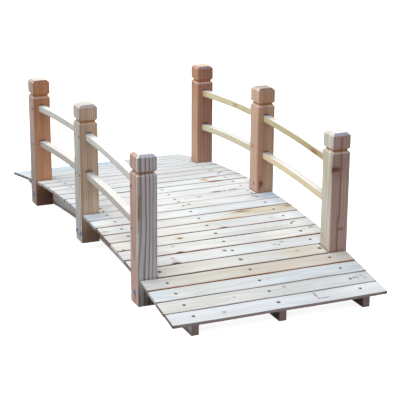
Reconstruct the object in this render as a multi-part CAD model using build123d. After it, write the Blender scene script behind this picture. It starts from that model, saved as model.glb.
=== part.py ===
from build123d import *
import os
from math import cos, degrees, sin, sqrt

# Wooden footbridge with a low arched deck, six posts and curved handrails.
# Sizes in millimetres. X runs across the deck, Y along it and Z up.
# The origin lies on the ground under the middle of the deck.

# Deck boards
plank_length = 670.0
plank_width = 60.0
plank_thickness = 10.0
plank_gap = 3.5
plank_arris = 1.0
planks_per_bay = 7
planks_per_ramp = 4
short_plank_end_gap = 2.0

# Square posts, outer faces just proud of the board ends
post_width = 60.0
post_length = 450.0
post_gap = 3.5
post_proud = 3.0
post_arris = 2.0
middle_post_lift = 27.0

# Cap of each post: chamfered top edge, block, and the V-groove below it
cap_chamfer = 8.0
cap_block = 38.5
groove_width = 14.0
groove_depth = 7.0

# Arched stringers, each in two halves that meet at the crown
stringer_thickness = 22.5
stringer_depth = 78.5
arch_clearance = 34.0
seat_radius = 3590.0
curve_past_post = 95.0
stringer_setback = 2.0
stringer_joint_gap = 0.4

# Curved rails let into mortises in the posts
rail_thickness = 22.5
rail_height = 21.5
rail_radius = 4550.0
rail_arris = 1.5
upper_rail_above_deck = 254.0
lower_rail_above_deck = 128.0
tenon_length = 28.0
tenon_end_gap = 0.5
mortise_clearance = 0.3
mortise_head_gap = 2.5
cut_overrun = 1.0

# Domed bolt heads on the posts' outer faces: one on an end post, two side by side on a middle post
bolt_head_width = 12.0
bolt_head_height = 3.0
bolt_rim_height = 1.0
bolt_socket_width = 5.0
bolt_socket_depth = 2.0
bolt_height = 36.0
middle_bolt_height = 57.0
middle_bolt_spacing = 38.0

# Places along and across the deck that follow from the sizes above
post_slot = post_width + 2 * post_gap
plank_pitch = plank_width + plank_gap
bay_run = post_slot + planks_per_bay * plank_pitch - plank_gap
curved_run = bay_run + curve_past_post
deck_run = bay_run + post_slot / 2 + planks_per_ramp * plank_pitch - plank_gap
post_outer_x = plank_length / 2 + post_proud
post_x = post_outer_x - post_width / 2
post_inner_x = post_outer_x - post_width
stringer_x = post_inner_x - stringer_thickness / 2
seat_crown = arch_clearance + stringer_depth
seat_centre = seat_crown - seat_radius
deck_crown = seat_crown + plank_thickness
side_signs = {"left": -1, "right": 1}


def seat_point(run):
    """Place and slope of the stringers' top edge, at a distance along it from the crown."""
    side = -1 if run < 0 else 1
    turn = min(abs(run), curved_run) / seat_radius
    straight = max(abs(run) - curved_run, 0.0)
    y = seat_radius * sin(turn) + straight * cos(turn)
    z = seat_centre + seat_radius * cos(turn) - straight * sin(turn)
    return side * y, z, -side * degrees(turn)


def arc_points(centre, radius, start_y, end_y):
    """Start, middle and end of an arc about a centre at this height below the crown."""
    stops = (start_y, (start_y + end_y) / 2, end_y)
    return [(y, centre + sqrt(radius ** 2 - y ** 2)) for y in stops]


end_post_y = seat_point(bay_run)[0]


# Deck boards

def plank_runs():
    """Distance from the crown to the middle of each full board, and to each short one."""
    bay = [post_slot / 2 + plank_width / 2 + n * plank_pitch for n in range(planks_per_bay)]
    ramp = [bay_run + post_slot / 2 + plank_width / 2 + n * plank_pitch
            for n in range(planks_per_ramp)]
    full = bay + ramp
    short = [-bay_run, 0.0, bay_run]
    return [-run for run in full] + full, short


def plank(length, width):
    """Flat board with its underside on the ground plane and its two long top edges eased."""
    board = Box(length, width, plank_thickness, align=(Align.CENTER, Align.CENTER, Align.MIN))
    top_edges = board.faces().sort_by(Axis.Z)[-1].edges().filter_by(Axis.X)
    return chamfer(top_edges, plank_arris)


def planks():
    """All boards, counted from the near end, each laid flat on the arch."""
    full_runs, short_runs = plank_runs()
    short_width = post_slot - 2 * plank_gap
    short_length = 2 * (post_inner_x - short_plank_end_gap)
    boards = [(run, plank_length, plank_width) for run in full_runs]
    boards += [(run, short_length, short_width) for run in short_runs]
    nodes = {}
    for number, (run, length, width) in enumerate(sorted(boards), start=1):
        y, z, slope = seat_point(run)
        nodes[f"plank_{number:02d}"] = Pos(0, y, z) * Rot(slope, 0, 0) * plank(length, width)
    return nodes


# Stringers

def stringer_half():
    """Far half of a stringer: a board bent to the arch and cut flat where it stands."""
    start_y = stringer_joint_gap / 2
    bend_y, bend_z, _ = seat_point(curved_run)
    nose_y, nose_z, _ = seat_point(deck_run - stringer_setback)
    belly_radius = seat_radius - stringer_depth
    foot_y = sqrt(belly_radius ** 2 - seat_centre ** 2)
    top = arc_points(seat_centre, seat_radius, start_y, bend_y)
    belly = arc_points(seat_centre, belly_radius, foot_y, start_y)
    with BuildSketch(Plane.YZ) as outline:
        with BuildLine():
            ThreePointArc(*top)
            Polyline((bend_y, bend_z), (nose_y, nose_z), (nose_y, 0), (foot_y, 0))
            ThreePointArc(*belly)
            Line(belly[-1], top[0])
        make_face()
    return extrude(outline.sketch, amount=stringer_thickness / 2, both=True)


def stringers():
    """Left, centre and right stringers, near and far halves."""
    far_half = stringer_half()
    near_half = mirror(far_half, about=Plane.XZ)
    places = {"left": -stringer_x, "centre": 0.0, "right": stringer_x}
    nodes = {}
    for place, x in places.items():
        nodes[f"stringer_{place}_near"] = Pos(x, 0, 0) * near_half
        nodes[f"stringer_{place}_far"] = Pos(x, 0, 0) * far_half
    return nodes


# Rails

def rail_bar(middle_height, start_y, end_y, grow=0.0, head=0.0):
    """Bar that follows the rail's arc, grown all round by a clearance and raised on top by another."""
    centre = deck_crown + middle_height - rail_radius
    top = arc_points(centre, rail_radius + rail_height / 2 + grow + head, start_y, end_y)
    bottom = arc_points(centre, rail_radius - rail_height / 2 - grow, end_y, start_y)
    with BuildSketch(Plane.YZ) as outline:
        with BuildLine():
            ThreePointArc(*top)
            Line(top[-1], bottom[0])
            ThreePointArc(*bottom)
            Line(bottom[-1], top[0])
        make_face()
    return extrude(outline.sketch, amount=rail_thickness / 2 + grow, both=True)


def rail(middle_height):
    """Rail of the far bay with its long edges eased and a tenon in the post at each end."""
    start_y = post_width / 2 - tenon_length
    end_y = end_post_y - post_width / 2 + tenon_length
    bar = rail_bar(middle_height, start_y, end_y)
    return chamfer(bar.edges().filter_by(GeomType.CIRCLE), rail_arris)


def rails():
    """Upper and lower rails of both bays on both sides."""
    heights = {"upper": upper_rail_above_deck, "lower": lower_rail_above_deck}
    nodes = {}
    for level, height in heights.items():
        far_rail = rail(height)
        near_rail = mirror(far_rail, about=Plane.XZ)
        for side, sign in side_signs.items():
            nodes[f"rail_{side}_near_{level}"] = Pos(sign * post_x, 0, 0) * near_rail
            nodes[f"rail_{side}_far_{level}"] = Pos(sign * post_x, 0, 0) * far_rail
    return nodes


# Posts

def post_outline(plane):
    """Side view of a post: shaft, groove, block and chamfered top."""
    half = post_width / 2
    block_top = post_length - cap_chamfer
    block_base = block_top - cap_block
    shaft_top = block_base - groove_width
    neck = (half - groove_depth, (block_base + shaft_top) / 2)
    right = [(half, 0), (half, shaft_top), neck, (half, block_base), (half, block_top),
             (half - cap_chamfer, post_length)]
    left = [(-u, z) for u, z in reversed(right)]
    with BuildSketch(plane) as outline:
        with BuildLine():
            Polyline(*right, *left, close=True)
        make_face()
    return outline.sketch


def post_blank():
    """Post without mortises: the same side view cut from front and side, so that corners mitre."""
    half = post_width / 2
    front = extrude(post_outline(Plane.XZ), amount=half, both=True)
    side = extrude(post_outline(Plane.YZ), amount=half, both=True)
    blank = front & side
    return chamfer(blank.edges().filter_by(Axis.Z), post_arris)


def mortises(start_y, end_y):
    """Sockets for the upper and the lower rail between two places along the deck, higher than the rails."""
    return [rail_bar(height, start_y, end_y, mortise_clearance, mortise_head_gap)
            for height in (upper_rail_above_deck, lower_rail_above_deck)]


def bolt_head():
    """Domed head with a hexagon socket, standing up from the ground plane."""
    rim = (bolt_head_width / 2, bolt_rim_height)
    crown = (0.7 * bolt_socket_width, bolt_head_height)
    shoulder = ((rim[0] + crown[0]) / 2, (rim[1] + 3 * crown[1]) / 4)
    with BuildSketch(Plane.XZ) as outline:
        with BuildLine():
            Polyline(crown, (0, bolt_head_height), (0, 0), (bolt_head_width / 2, 0), rim)
            ThreePointArc(rim, shoulder, crown)
        make_face()
    socket = extrude(RegularPolygon(bolt_socket_width / 2, 6, major_radius=False), bolt_socket_depth)
    return revolve(outline.sketch, Axis.Z) - Pos(0, 0, bolt_head_height - bolt_socket_depth) * socket


def bolt_places():
    """Places of the bolt heads along the deck and above the ground, by row of posts."""
    return {
        "near": [(-end_post_y, bolt_height)],
        "middle": [(side * middle_bolt_spacing / 2, middle_bolt_height) for side in (-1, 1)],
        "far": [(end_post_y, bolt_height)],
    }


def posts():
    """Three posts on each side; the middle ones stand higher and are mortised right through."""
    blank = post_blank()
    half = post_width / 2
    socket_depth = tenon_length + tenon_end_gap
    middle = Pos(0, 0, middle_post_lift) * blank
    for socket in mortises(-half - cut_overrun, half + cut_overrun):
        middle -= socket
    far = Pos(0, end_post_y, 0) * blank
    bay_face_y = end_post_y - half
    for socket in mortises(bay_face_y - cut_overrun, bay_face_y + socket_depth):
        far -= socket
    near = mirror(far, about=Plane.XZ)
    head = bolt_head()
    places = bolt_places()
    nodes = {}
    for side, sign in side_signs.items():
        for row, shape in (("near", near), ("middle", middle), ("far", far)):
            heads = [Pos(sign * half, y, z) * Rot(0, sign * 90, 0) * head for y, z in places[row]]
            nodes[f"post_{side}_{row}"] = Pos(sign * post_x, 0, 0) * (shape + heads)
    return nodes


# Output

os.makedirs("parts", exist_ok=True)
for name, shape in {**planks(), **stringers(), **rails(), **posts()}.items():
    export_step(shape, f"parts/{name}.step")
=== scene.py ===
"""Looks of a wooden garden footbridge: dry fir boards, square posts, curved rails, stringers and fasteners.

Sizes are in metres. X runs across the deck, Y along it and Z up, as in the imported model.
"""

import bpy
import numpy as np
from bpy.props import FloatProperty, FloatVectorProperty, PointerProperty
from math import pi, radians
from mathutils import Matrix, Vector
from typing import NamedTuple


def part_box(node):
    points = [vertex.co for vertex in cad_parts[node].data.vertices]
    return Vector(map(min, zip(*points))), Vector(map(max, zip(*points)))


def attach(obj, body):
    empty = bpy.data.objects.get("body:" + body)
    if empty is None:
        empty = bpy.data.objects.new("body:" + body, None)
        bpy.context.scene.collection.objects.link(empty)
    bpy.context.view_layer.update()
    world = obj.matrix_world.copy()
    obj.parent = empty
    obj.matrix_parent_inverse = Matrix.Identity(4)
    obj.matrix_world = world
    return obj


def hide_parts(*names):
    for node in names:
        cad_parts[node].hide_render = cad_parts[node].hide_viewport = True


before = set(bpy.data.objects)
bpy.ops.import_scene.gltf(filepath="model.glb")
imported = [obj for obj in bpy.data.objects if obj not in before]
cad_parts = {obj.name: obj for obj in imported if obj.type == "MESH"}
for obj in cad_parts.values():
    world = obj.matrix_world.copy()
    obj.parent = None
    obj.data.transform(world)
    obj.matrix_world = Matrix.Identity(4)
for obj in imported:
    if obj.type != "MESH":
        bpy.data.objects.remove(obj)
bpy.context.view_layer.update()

bl_info = {
    "name": "Wooden footbridge",
    "version": (1, 0, 0),
    "blender": (4, 5, 0),
    "location": "View3D > Sidebar > Footbridge",
    "description": "Boards, posts, rails, stringers and fasteners of an arched garden footbridge",
    "category": "Add Mesh",
}

SIDES = {"left": -1, "right": 1}
ENDS = {"near": -1, "far": 1}
ROWS = ("near", "middle", "far")
LEVELS = ("upper", "lower")
STRINGER_SIDES = {"left": -1, "centre": 0, "right": 1}


# Values shared by the settings and the shapes

def linear(hex_code):
    """Linear RGBA of an sRGB hex colour such as "#C8B89A"."""
    parts = np.array([int(hex_code[i:i + 2], 16) / 255 for i in (1, 3, 5)])
    rgb = np.where(parts <= 0.04045, parts / 12.92, ((parts + 0.055) / 1.055) ** 2.4)
    return (*(float(part) for part in rgb), 1.0)


def length(name, description, default):
    """A size that a user may change, in metres."""
    return FloatProperty(name=name, description=description, default=default, min=0.0, precision=4,
                         unit="LENGTH", subtype="DISTANCE")


def colour(name, description, hex_code):
    """A colour that a user may change."""
    return FloatVectorProperty(name=name, description=description, default=linear(hex_code), size=4,
                               min=0.0, max=1.0, subtype="COLOR")


class BoardSettings(bpy.types.PropertyGroup):
    """Deck boards"""
    arris: length("Arris", "Radius of the eased edges", 0.0012)
    crook: length("Crook", "How far a board wanders sideways along its length", 0.0005)
    cup: length("Cup", "How far the long edges curl above the middle", 0.0003)
    uneven_end: length("Uneven ends", "How far the ends stop short of the full length, at most", 0.0018)
    nail_scatter: length("Nail scatter", "How far a nail may stand from its line", 0.003)
    dimple_depth: length("Nail dimple depth", "How deep a nail head pulls the wood down", 0.0009)
    dimple_radius: length("Nail dimple radius", "Flat part of that dimple", 0.0034)
    dimple_lip: length("Nail dimple lip", "Width of the slope round that dimple", 0.0035)
    pale: colour("Pale fir", "Most boards: dry fir bleached nearly white", "#EEF4F9")
    cream: colour("Cream fir", "Warmer boards", "#E4E1D8")
    # Greyer tint: painted shade on the near boards and the right half of the deck
    shaded: colour("Painted shade", "Tint of the boards at both ends and on the right", "#E6EBEE")
    nail_stain: colour("Nail stain", "Wood round a nail head", "#80624E")
    edge: colour("Board edge", "Sawn long edges, weathered", "#C8BCC0")
    fresh_edge: colour("Fresh board edge", "Sawn long edges, fresh and resinous", "#B86C34")
    # Painted shade in the gaps between boards, on their long edges, and dirt at their tips
    dirt_and_gap_shade: colour("Dirt", "Dirt and painted gap shade on sawn long edges", "#54483E")
    end: colour("Board end", "Sawn ends", "#B4A494")


class StringerSettings(bpy.types.PropertyGroup):
    """Stringers"""
    seat_radius: length("Seat radius", "Radius of the arched top edge", 3.590)
    depth: length("Depth", "Height of the arched part", 0.0785)
    bend_run: length("Bent run", "Length of the arched top edge from the crown", 0.603)
    arris: length("Arris", "Radius of the eased edges", 0.0012)
    # Face: bleached, and painted white to stand in for light under the deck's overhang
    face: colour("Face", "Sawn faces, bleached and painted light", "#FFFFFF")
    middle: colour("Lower face", "Lowest quarter of the sawn faces", "#DAD2D6")
    under: colour("Under edge", "Lower edge, darker and redder", "#7E4C42")
    blotch: colour("Blotch", "Pale bluish blotches", "#DCE6F0")
    # Inner faces: painted shade, dark as the space under the deck
    inner: colour("Inner faces", "Faces that look inwards and are painted dark as shade", "#463A36")
    end: colour("End", "Sawn ends", "#A08B8B")


class RailSettings(bpy.types.PropertyGroup):
    """Rails"""
    radius: length("Radius", "Radius of the rail's middle line", 4.550)
    height: length("Height", "Height of the rail's section", 0.0215)
    arris: length("Arris", "Radius of the eased edges", 0.0014)
    # Top faces: bleached, and painted white so that they look lit where the upper rails shade the lower ones
    top: colour("Top faces", "Bleached, and painted white to look lit", "#FFFFFF")
    # Painted shade of the posts on the rail tops beside them, and how far it reaches
    post_shade_top: colour("Sheltered tops", "Top faces beside the posts, painted darker as shade", "#ADB1BB")
    post_shade_reach: length("Shelter", "How far from a post the tops are darker", 0.090)
    # Painted shade along the lower edge of each rail
    under: colour("Lower edges", "Painted shade along the edge under a rail", "#8C7C68")


class PostSettings(bpy.types.PropertyGroup):
    """Posts"""
    arris: length("Arris", "Radius of the eased upright edges", 0.0018)
    cap_chamfer: length("Cap chamfer", "Width of the chamfer round the top", 0.008)
    cap_block: length("Cap block", "Height of the block above the groove", 0.0385)
    groove_width: length("Groove width", "Height of the V-groove", 0.014)
    groove_depth: length("Groove depth", "Depth of the V-groove", 0.007)
    mortise_play: length("Mortise play", "Free space beside and under a rail in its mortise", 0.0003)
    mortise_gap: length("Mortise gap", "Free height of a mortise above its rail", 0.0028)
    mortise_depth: length("Mortise depth", "Depth of a mortise", 0.0285)
    ease: length("Ease", "Rounding of the cap's and the groove's edges", 0.0004)
    cut: colour("Cut faces", "Chamfers at the sides of the caps", "#DED6CA")
    # Groove: fresh wood, painted brighter to make up for the groove's own shade
    groove: colour("Groove", "Freshly cut wood in the V-groove, painted brighter against its shade", "#D09456")
    # Painted shadow: a dark ring round the heads of screws and bolts
    head_shade: colour("Head shadow", "Dark wood round screws and bolts", "#4C3A30")
    # Painted highlight on the upright arrises, the groove's shoulder and the cap's corners
    edge_highlight: colour("Arris highlight", "Upright arrises, painted as highlights", "#FFFCFF")


class FastenerSettings(bpy.types.PropertyGroup):
    """Bolts, screws and nails"""
    bolt_head: length("Bolt head", "Diameter of a bolt's domed head", 0.012)
    bolt_rise: length("Bolt rise", "Height of a bolt's head", 0.003)
    bolt_socket: length("Bolt socket", "Width across the flats of the hexagon socket", 0.005)
    bolt_height: length("Bolt height", "Height of the end posts' bolts above the ground", 0.036)
    middle_bolt_height: length("Middle bolt height", "Height of the middle posts' bolts", 0.057)
    middle_bolt_offset: length("Middle bolt offset", "From a middle post's axis to its bolts", 0.019)
    screw_offset: length("Screw offset", "From a post's axis to the screws of its rails", 0.019)
    screw_head: length("Screw head", "Diameter of a countersunk head", 0.0056)
    screw_sink: length("Screw sink", "How deep the screws' heads lie", 0.0008)
    nail_head: length("Nail head", "Diameter of a nail head", 0.0068)
    zinc: colour("Zinc", "Blue passivated zinc", "#3F70A4")
    nail: colour("Nail", "Darkened wire nails", "#3A2C22")
    screw: colour("Screw", "Dull screws", "#5E4A3C")


class StageSettings(bpy.types.PropertyGroup):
    """Floor, light and camera"""
    floor_size: length("Floor size", "Side of the square floor", 24.0)
    lamp_size: length("Lamp size", "Side of the overhead soft light", 3.2)
    lamp_power: FloatProperty(name="Lamp power", description="Watts of the overhead soft light",
                              default=108.0, min=0.0)
    sky: FloatProperty(name="Sky", description="Strength of the even light from all round",
                       default=0.45, min=0.0)
    floor_shade: colour("Floor", "Floor as the bridge sees it", "#8C8A88")
    floor_white: colour("Backdrop", "Floor as the camera sees it", "#FFFFFF")
    floor_glow: FloatProperty(name="Floor glow", description="Share of the white floor that shadows leave",
                              default=0.85, min=0.0, max=1.0)


class FootbridgeSettings(bpy.types.PropertyGroup):
    """All settings of the footbridge"""
    boards: PointerProperty(type=BoardSettings)
    stringers: PointerProperty(type=StringerSettings)
    rails: PointerProperty(type=RailSettings)
    posts: PointerProperty(type=PostSettings)
    fasteners: PointerProperty(type=FastenerSettings)
    stage: PointerProperty(type=StageSettings)


def settings():
    """The values that a user has set, or their defaults."""
    return bpy.context.scene.footbridge


# Shapes

# Steps round the quarter circle of an arris, and stations beside an end as shares of its radius
ARRIS_STEPS = 3
END_STEPS = (0.15, 0.5, 1.0)
# Smallest gap between stations, and how far the fine ones stay from an end
CLOSEST_STATIONS = 0.0004
END_MARGIN = 0.001
# Points of a flat that lie this close to its corner are left out
CORNER_TOLERANCE = 1e-5
# Height of the slow waves in all long pieces
WAVE = 0.0003
# How many of its half sizes a knot reaches, and the value where there is none
KNOT_REACH = 3.0
NO_KNOT = (9.0, 9.0, 0.0)
# Share of a soft patch, from its middle, that has its full strength
PATCH_CORE = 0.3
# Distance from the pith at which rings that get narrower have their own width
PITH_REACH = 0.05
# Step along the wood's pattern from piece to piece, and where each kind of piece starts on it
GRAIN_STEP = 3.7
GRAIN_START = {"stringer": 40, "rail": 50, "post": 60}
# Seeds for what is uneven in each kind of piece
SEEDS = {"board": 100, "stringer": 200, "rail": 300, "nails": 500}


def smooth(low, high, value):
    """Smooth step from 0 at low to 1 at high."""
    share = np.clip((value - low) / (high - low), 0, 1)
    return share * share * (3 - 2 * share)


def fading(reach, distance):
    """1 up to the first of two distances, 0 from the second on, and smooth between."""
    full, gone = reach
    return smooth(gone, full, distance)


def places(low, high, step, fine=(), reach=0.008, fine_step=0.0013):
    """Even places from low to high, and closer ones within reach of each fine place."""
    even = np.linspace(low, high, round((high - low) / step) + 1)
    close = np.linspace(-reach, reach, 2 * round(reach / fine_step) + 1)
    for middle in fine:
        even = even[np.abs(even - middle) > reach + fine_step]
    near = np.add.outer(np.array(list(fine)), close).ravel()
    near = near[(near > low + END_MARGIN) & (near < high - END_MARGIN)]
    every = np.sort(np.concatenate([even, near]))
    return every[np.diff(every, prepend=low - 1) > CLOSEST_STATIONS]


def end_gap(u):
    """Distance along the grain to the nearer end."""
    return np.minimum(u - u.min(), u.max() - u)


def with_ends(stations, radius):
    """Stations with a few more beside both ends, where the section rounds over."""
    steps = np.array(END_STEPS) * radius
    return np.unique(np.concatenate([stations, stations.min() + steps, stations.max() - steps]))


def end_easing(u, radius):
    """How far a section shrinks near both ends, so that they round over: a quarter circle's inset."""
    near = np.clip(radius - end_gap(u), 0, radius)
    return radius - np.sqrt(radius ** 2 - near ** 2)


def on_end(u, arris):
    """1 on a piece's sawn ends and the outer third of their eased edges, and 0 past these edges."""
    return fading((0.3 * arris, arris), end_gap(u))


def hollow(reach, radius, lip, depth):
    """Depth of a round hollow: even out to its radius, then rising smoothly over its lip."""
    return depth * smooth(radius + lip, radius, reach)


def rounded_ring(half_v, half_w, radius, flat_v, flat_w):
    """Rounded rectangle in (v, w), counterclockwise, with points on its flats at flat_v and flat_w.

    Each corner is a quarter circle: its centre plus radius times (cosine, sine) of a turning angle.
    """
    a, b = half_v - radius, half_w - radius
    inner_v = flat_v[np.abs(flat_v) < a - CORNER_TOLERANCE]
    inner_w = flat_w[np.abs(flat_w) < b - CORNER_TOLERANCE]
    quarter = np.linspace(0, pi / 2, ARRIS_STEPS + 1)

    def corner(middle, start):
        turn = start + quarter
        return np.array(middle) + radius * np.column_stack([np.cos(turn), np.sin(turn)])

    def flat(v, w):
        return np.column_stack(np.broadcast_arrays(v, w))

    return np.concatenate([
        flat(inner_v, -half_w), corner((a, -b), -pi / 2),
        flat(half_v, inner_w), corner((a, b), 0),
        flat(inner_v[::-1], half_w), corner((-a, b), pi / 2),
        flat(-half_v, inner_w[::-1]), corner((-a, -b), pi),
    ])


def bar(stations, ring):
    """Ring repeated at every station along the grain: an array of stations by ring by (u, v, w)."""
    u = np.broadcast_to(stations[:, None], (len(stations), len(ring)))
    v, w = (np.broadcast_to(ring[:, k], u.shape) for k in (0, 1))
    return np.stack([u, v, w], axis=-1)


def closed_skin(stations, around):
    """Quads between neighbouring rings of points, and one face over each end ring."""
    index = np.arange(stations * around).reshape(stations, around)
    ahead = np.roll(index, -1, axis=1)
    quads = np.stack([index[:-1], ahead[:-1], ahead[1:], index[1:]], axis=-1)
    return quads, [index[0, ::-1].tolist(), index[-1].tolist()]


def skin_faces(shape):
    """All faces of a closed skin, from its numbers of stations and of points around."""
    quads, caps = closed_skin(*shape)
    return quads.reshape(-1, 4).tolist() + caps


def wander(u, random, wavelength, height):
    """Slow uneven wave along u: three sines of unrelated wavelengths with random phases."""
    waves = [np.sin(2 * pi * (u / (wavelength * k) + random.random())) / k for k in (1.0, 0.63, 1.7)]
    return height * sum(waves) / 2


def revolved(profile, around):
    """Turned shape: each (radius, height) of the profile swept round the axis by cosine and sine."""
    profile = np.array(profile)
    turn = np.linspace(0, 2 * pi, around, endpoint=False)
    ring = np.stack([np.cos(turn), np.sin(turn)], axis=-1)
    flat = profile[:, None, :1] * ring[None]
    rise = np.broadcast_to(profile[:, None, 1:], (len(profile), around, 1))
    return np.concatenate([flat, rise], axis=-1)


def repeated(rings, seats):
    """Copies of a turned shape, one on each seat: a 3 by 4 array of its axes, as columns, and its place."""
    quads, ends = closed_skin(*rings.shape[:2])
    points = rings.reshape(-1, 3)
    seats = np.array(seats)
    moved = np.einsum("nij,pj->npi", seats[:, :, :3], points) + seats[:, None, :, 3]
    shifts = np.arange(len(seats)) * len(points)
    faces = (quads.reshape(-1, 4)[None] + shifts[:, None, None]).reshape(-1, 4).tolist()
    faces += [(np.array(end) + shift).tolist() for shift in shifts for end in ends]
    return moved.reshape(-1, 3), faces


def finished(name, points, faces, material, slot, replaced=(), **attributes):
    """Mesh object that rides on the bridge, with its attributes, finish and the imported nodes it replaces."""
    mesh = bpy.data.meshes.new(name)
    mesh.from_pydata(points.reshape(-1, 3), [], faces)
    for label, values in attributes.items():
        kind, field = ("FLOAT_COLOR", "color") if label == "tone" else ("FLOAT_VECTOR", "vector")
        attribute = mesh.attributes.new(label, kind, "POINT")
        attribute.data.foreach_set(field, np.ascontiguousarray(values, np.float32).ravel())
    mesh.materials.append(material)
    mesh.validate()
    mesh.update()
    piece = bpy.data.objects.new(name, mesh)
    bpy.context.scene.collection.objects.link(piece)
    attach(piece, "root")
    if replaced:
        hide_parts(*replaced)
    return piece


def span(node):
    """Middle across and half width of a stringer or rail, and where it starts and stops from the crown."""
    low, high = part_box(node)
    start, stop = sorted((abs(low.y), abs(high.y)))
    return (low.x + high.x) / 2, (high.x - low.x) / 2, start, stop


def grain_of(local, pith, seed, ring_scale=1.0, narrowing=1.0):
    """Coordinates for the wood's pattern: u moved on by a step for each piece, v and w from the pith.

    The distance from the pith is scaled, and raised to a power where rings get narrower outwards.
    """
    across = local[..., 1:] - np.array(pith)
    reach = np.linalg.norm(across, axis=-1, keepdims=True) / PITH_REACH
    across = across * ring_scale * reach ** (narrowing - 1)
    return np.concatenate([local[..., :1] + GRAIN_STEP * seed, across], axis=-1)


def knots_of(u, across, knots):
    """Offset of each point from its nearest knot, in that knot's half sizes, and the knot's depth of colour.

    A knot is (u, across, half length, half width, depth). Past the knot's reach the depth is 0.
    """
    values = np.full((*u.shape, 3), NO_KNOT)
    nearest = np.full(u.shape, np.inf)
    for place_u, place_across, half_u, half_across, depth in knots:
        offset = np.stack([(u - place_u) / half_u, (across - place_across) / half_across], axis=-1)
        reach = np.linalg.norm(offset, axis=-1)
        closer = reach < nearest
        nearest[closer] = reach[closer]
        values[closer, :2] = offset[closer]
        values[closer, 2] = depth * (reach[closer] < KNOT_REACH)
    return values


def mixed(tone, other, share):
    """Tone moved by a share at each point towards another colour: a hex code, a setting or an array."""
    other = linear(other) if isinstance(other, str) else other
    return tone + (np.array(other) - tone) * np.asarray(share)[..., None]


def patched(tone, u, across, patches):
    """Tone with soft ellipses of other colours: (u, across, half length, half width, colour, strength)."""
    for place_u, place_across, half_u, half_across, shade, strength in patches:
        reach = np.hypot((u - place_u) / half_u, (across - place_across) / half_across)
        tone = mixed(tone, shade, strength * fading((PATCH_CORE, 1.0), reach))
    return tone


# Materials

# Scales of noise along and across the grain, in features per metre.
# Bends of the growth rings are about 450 mm long and 90 mm wide.
RING_BEND_SCALE = (2.2, 11.0, 11.0)
# Clouds are about 170 mm long and 33 mm wide.
CLOUD_SCALE = (6.0, 30.0, 30.0)
# Real fibres are too fine to show, so they are drawn 200 mm long and 4 mm wide.
FIBRE_SCALE = (5.0, 260.0, 260.0)
# Dull spots on steel are about 1 mm wide.
SPOT_SCALE = 900.0
# How far the rings bend, and how far they step aside at a knot, in metres
RING_BEND = 0.02
KNOT_SWELL = 0.007
# Where late wood starts, is darkest, starts to end and has ended, as shares of a ring
LATE_WOOD = (0.4, 0.88, 0.91, 1.0)
# How much of its strength the faintest ring keeps
FAINTEST_RING = 0.35
# Tints of a knot, of the wood round it and of dulled steel
KNOT_CORE = "#6A4030"
KNOT_HALO = "#C09A78"
DULL_SPOT = "#7A7A7C"


def add(tree, kind, links=(), output=0, **values):
    """Adds a node and returns one of its outputs.

    values are the node's own settings, and links are pairs of an input and a socket or plain value.
    """
    node = tree.nodes.new(kind)
    for name, value in values.items():
        setattr(node, name, value)
    for name, value in links:
        if isinstance(value, bpy.types.NodeSocket):
            tree.links.new(value, node.inputs[name])
        else:
            node.inputs[name].default_value = value
    return node.outputs[output] if node.outputs else node


def new_material(name):
    """Material with an empty node tree, and that tree."""
    material = bpy.data.materials.new(name)
    material.use_nodes = True
    material.node_tree.nodes.clear()
    return material, material.node_tree


def ring_bands(tree, grain, knot_reach, knot_depth, ring_mm):
    """Late wood: 1 in the dark part of each growth ring, 0 between.

    The distance from the pith, bent by slow noise and pushed aside round knots, is counted in rings. Late
    wood rises slowly towards the outside of a ring and ends sharply, and some rings are fainter than others.
    """
    start, darkest, ending, ended = LATE_WOOD
    slow = add(tree, "ShaderNodeVectorMath", [(0, grain), (1, RING_BEND_SCALE)], operation="MULTIPLY")
    bend = add(tree, "ShaderNodeTexNoise", [("Vector", slow), ("Scale", 1.0), ("Detail", 2.0)], "Fac")
    across = add(tree, "ShaderNodeVectorMath", [(0, grain), (1, (0.0, 1.0, 1.0))], operation="MULTIPLY")
    radius = add(tree, "ShaderNodeVectorMath", [(0, across)], "Value", operation="LENGTH")
    bent = add(tree, "ShaderNodeMath", [(0, bend), (1, RING_BEND), (2, radius)], operation="MULTIPLY_ADD")
    swell = add(tree, "ShaderNodeMapRange", [("Value", knot_reach), ("From Min", 2.6), ("From Max", 0.6),
                                             ("To Max", KNOT_SWELL)], interpolation_type="SMOOTHSTEP")
    pushed = add(tree, "ShaderNodeMath", [(0, swell), (1, knot_depth), (2, bent)], operation="MULTIPLY_ADD")
    count = add(tree, "ShaderNodeMath", [(0, pushed), (1, 1000.0 / ring_mm)], operation="MULTIPLY")
    part = add(tree, "ShaderNodeMath", [(0, count)], operation="FRACT")
    rise = add(tree, "ShaderNodeMapRange", [("Value", part), ("From Min", start), ("From Max", darkest)],
               interpolation_type="SMOOTHSTEP")
    fall = add(tree, "ShaderNodeMapRange", [("Value", part), ("From Min", ended), ("From Max", ending)],
               interpolation_type="SMOOTHSTEP")
    late = add(tree, "ShaderNodeMath", [(0, rise), (1, fall)], operation="MULTIPLY")
    weight = add(tree, "ShaderNodeTexNoise", [("W", count), ("Scale", 0.37), ("Detail", 1.0)], "Fac",
                 noise_dimensions="1D")
    weight = add(tree, "ShaderNodeMapRange", [("Value", weight), ("From Min", 0.3), ("From Max", 0.6),
                                              ("To Min", FAINTEST_RING)])
    return add(tree, "ShaderNodeMath", [(0, late), (1, weight)], operation="MULTIPLY")


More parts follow.
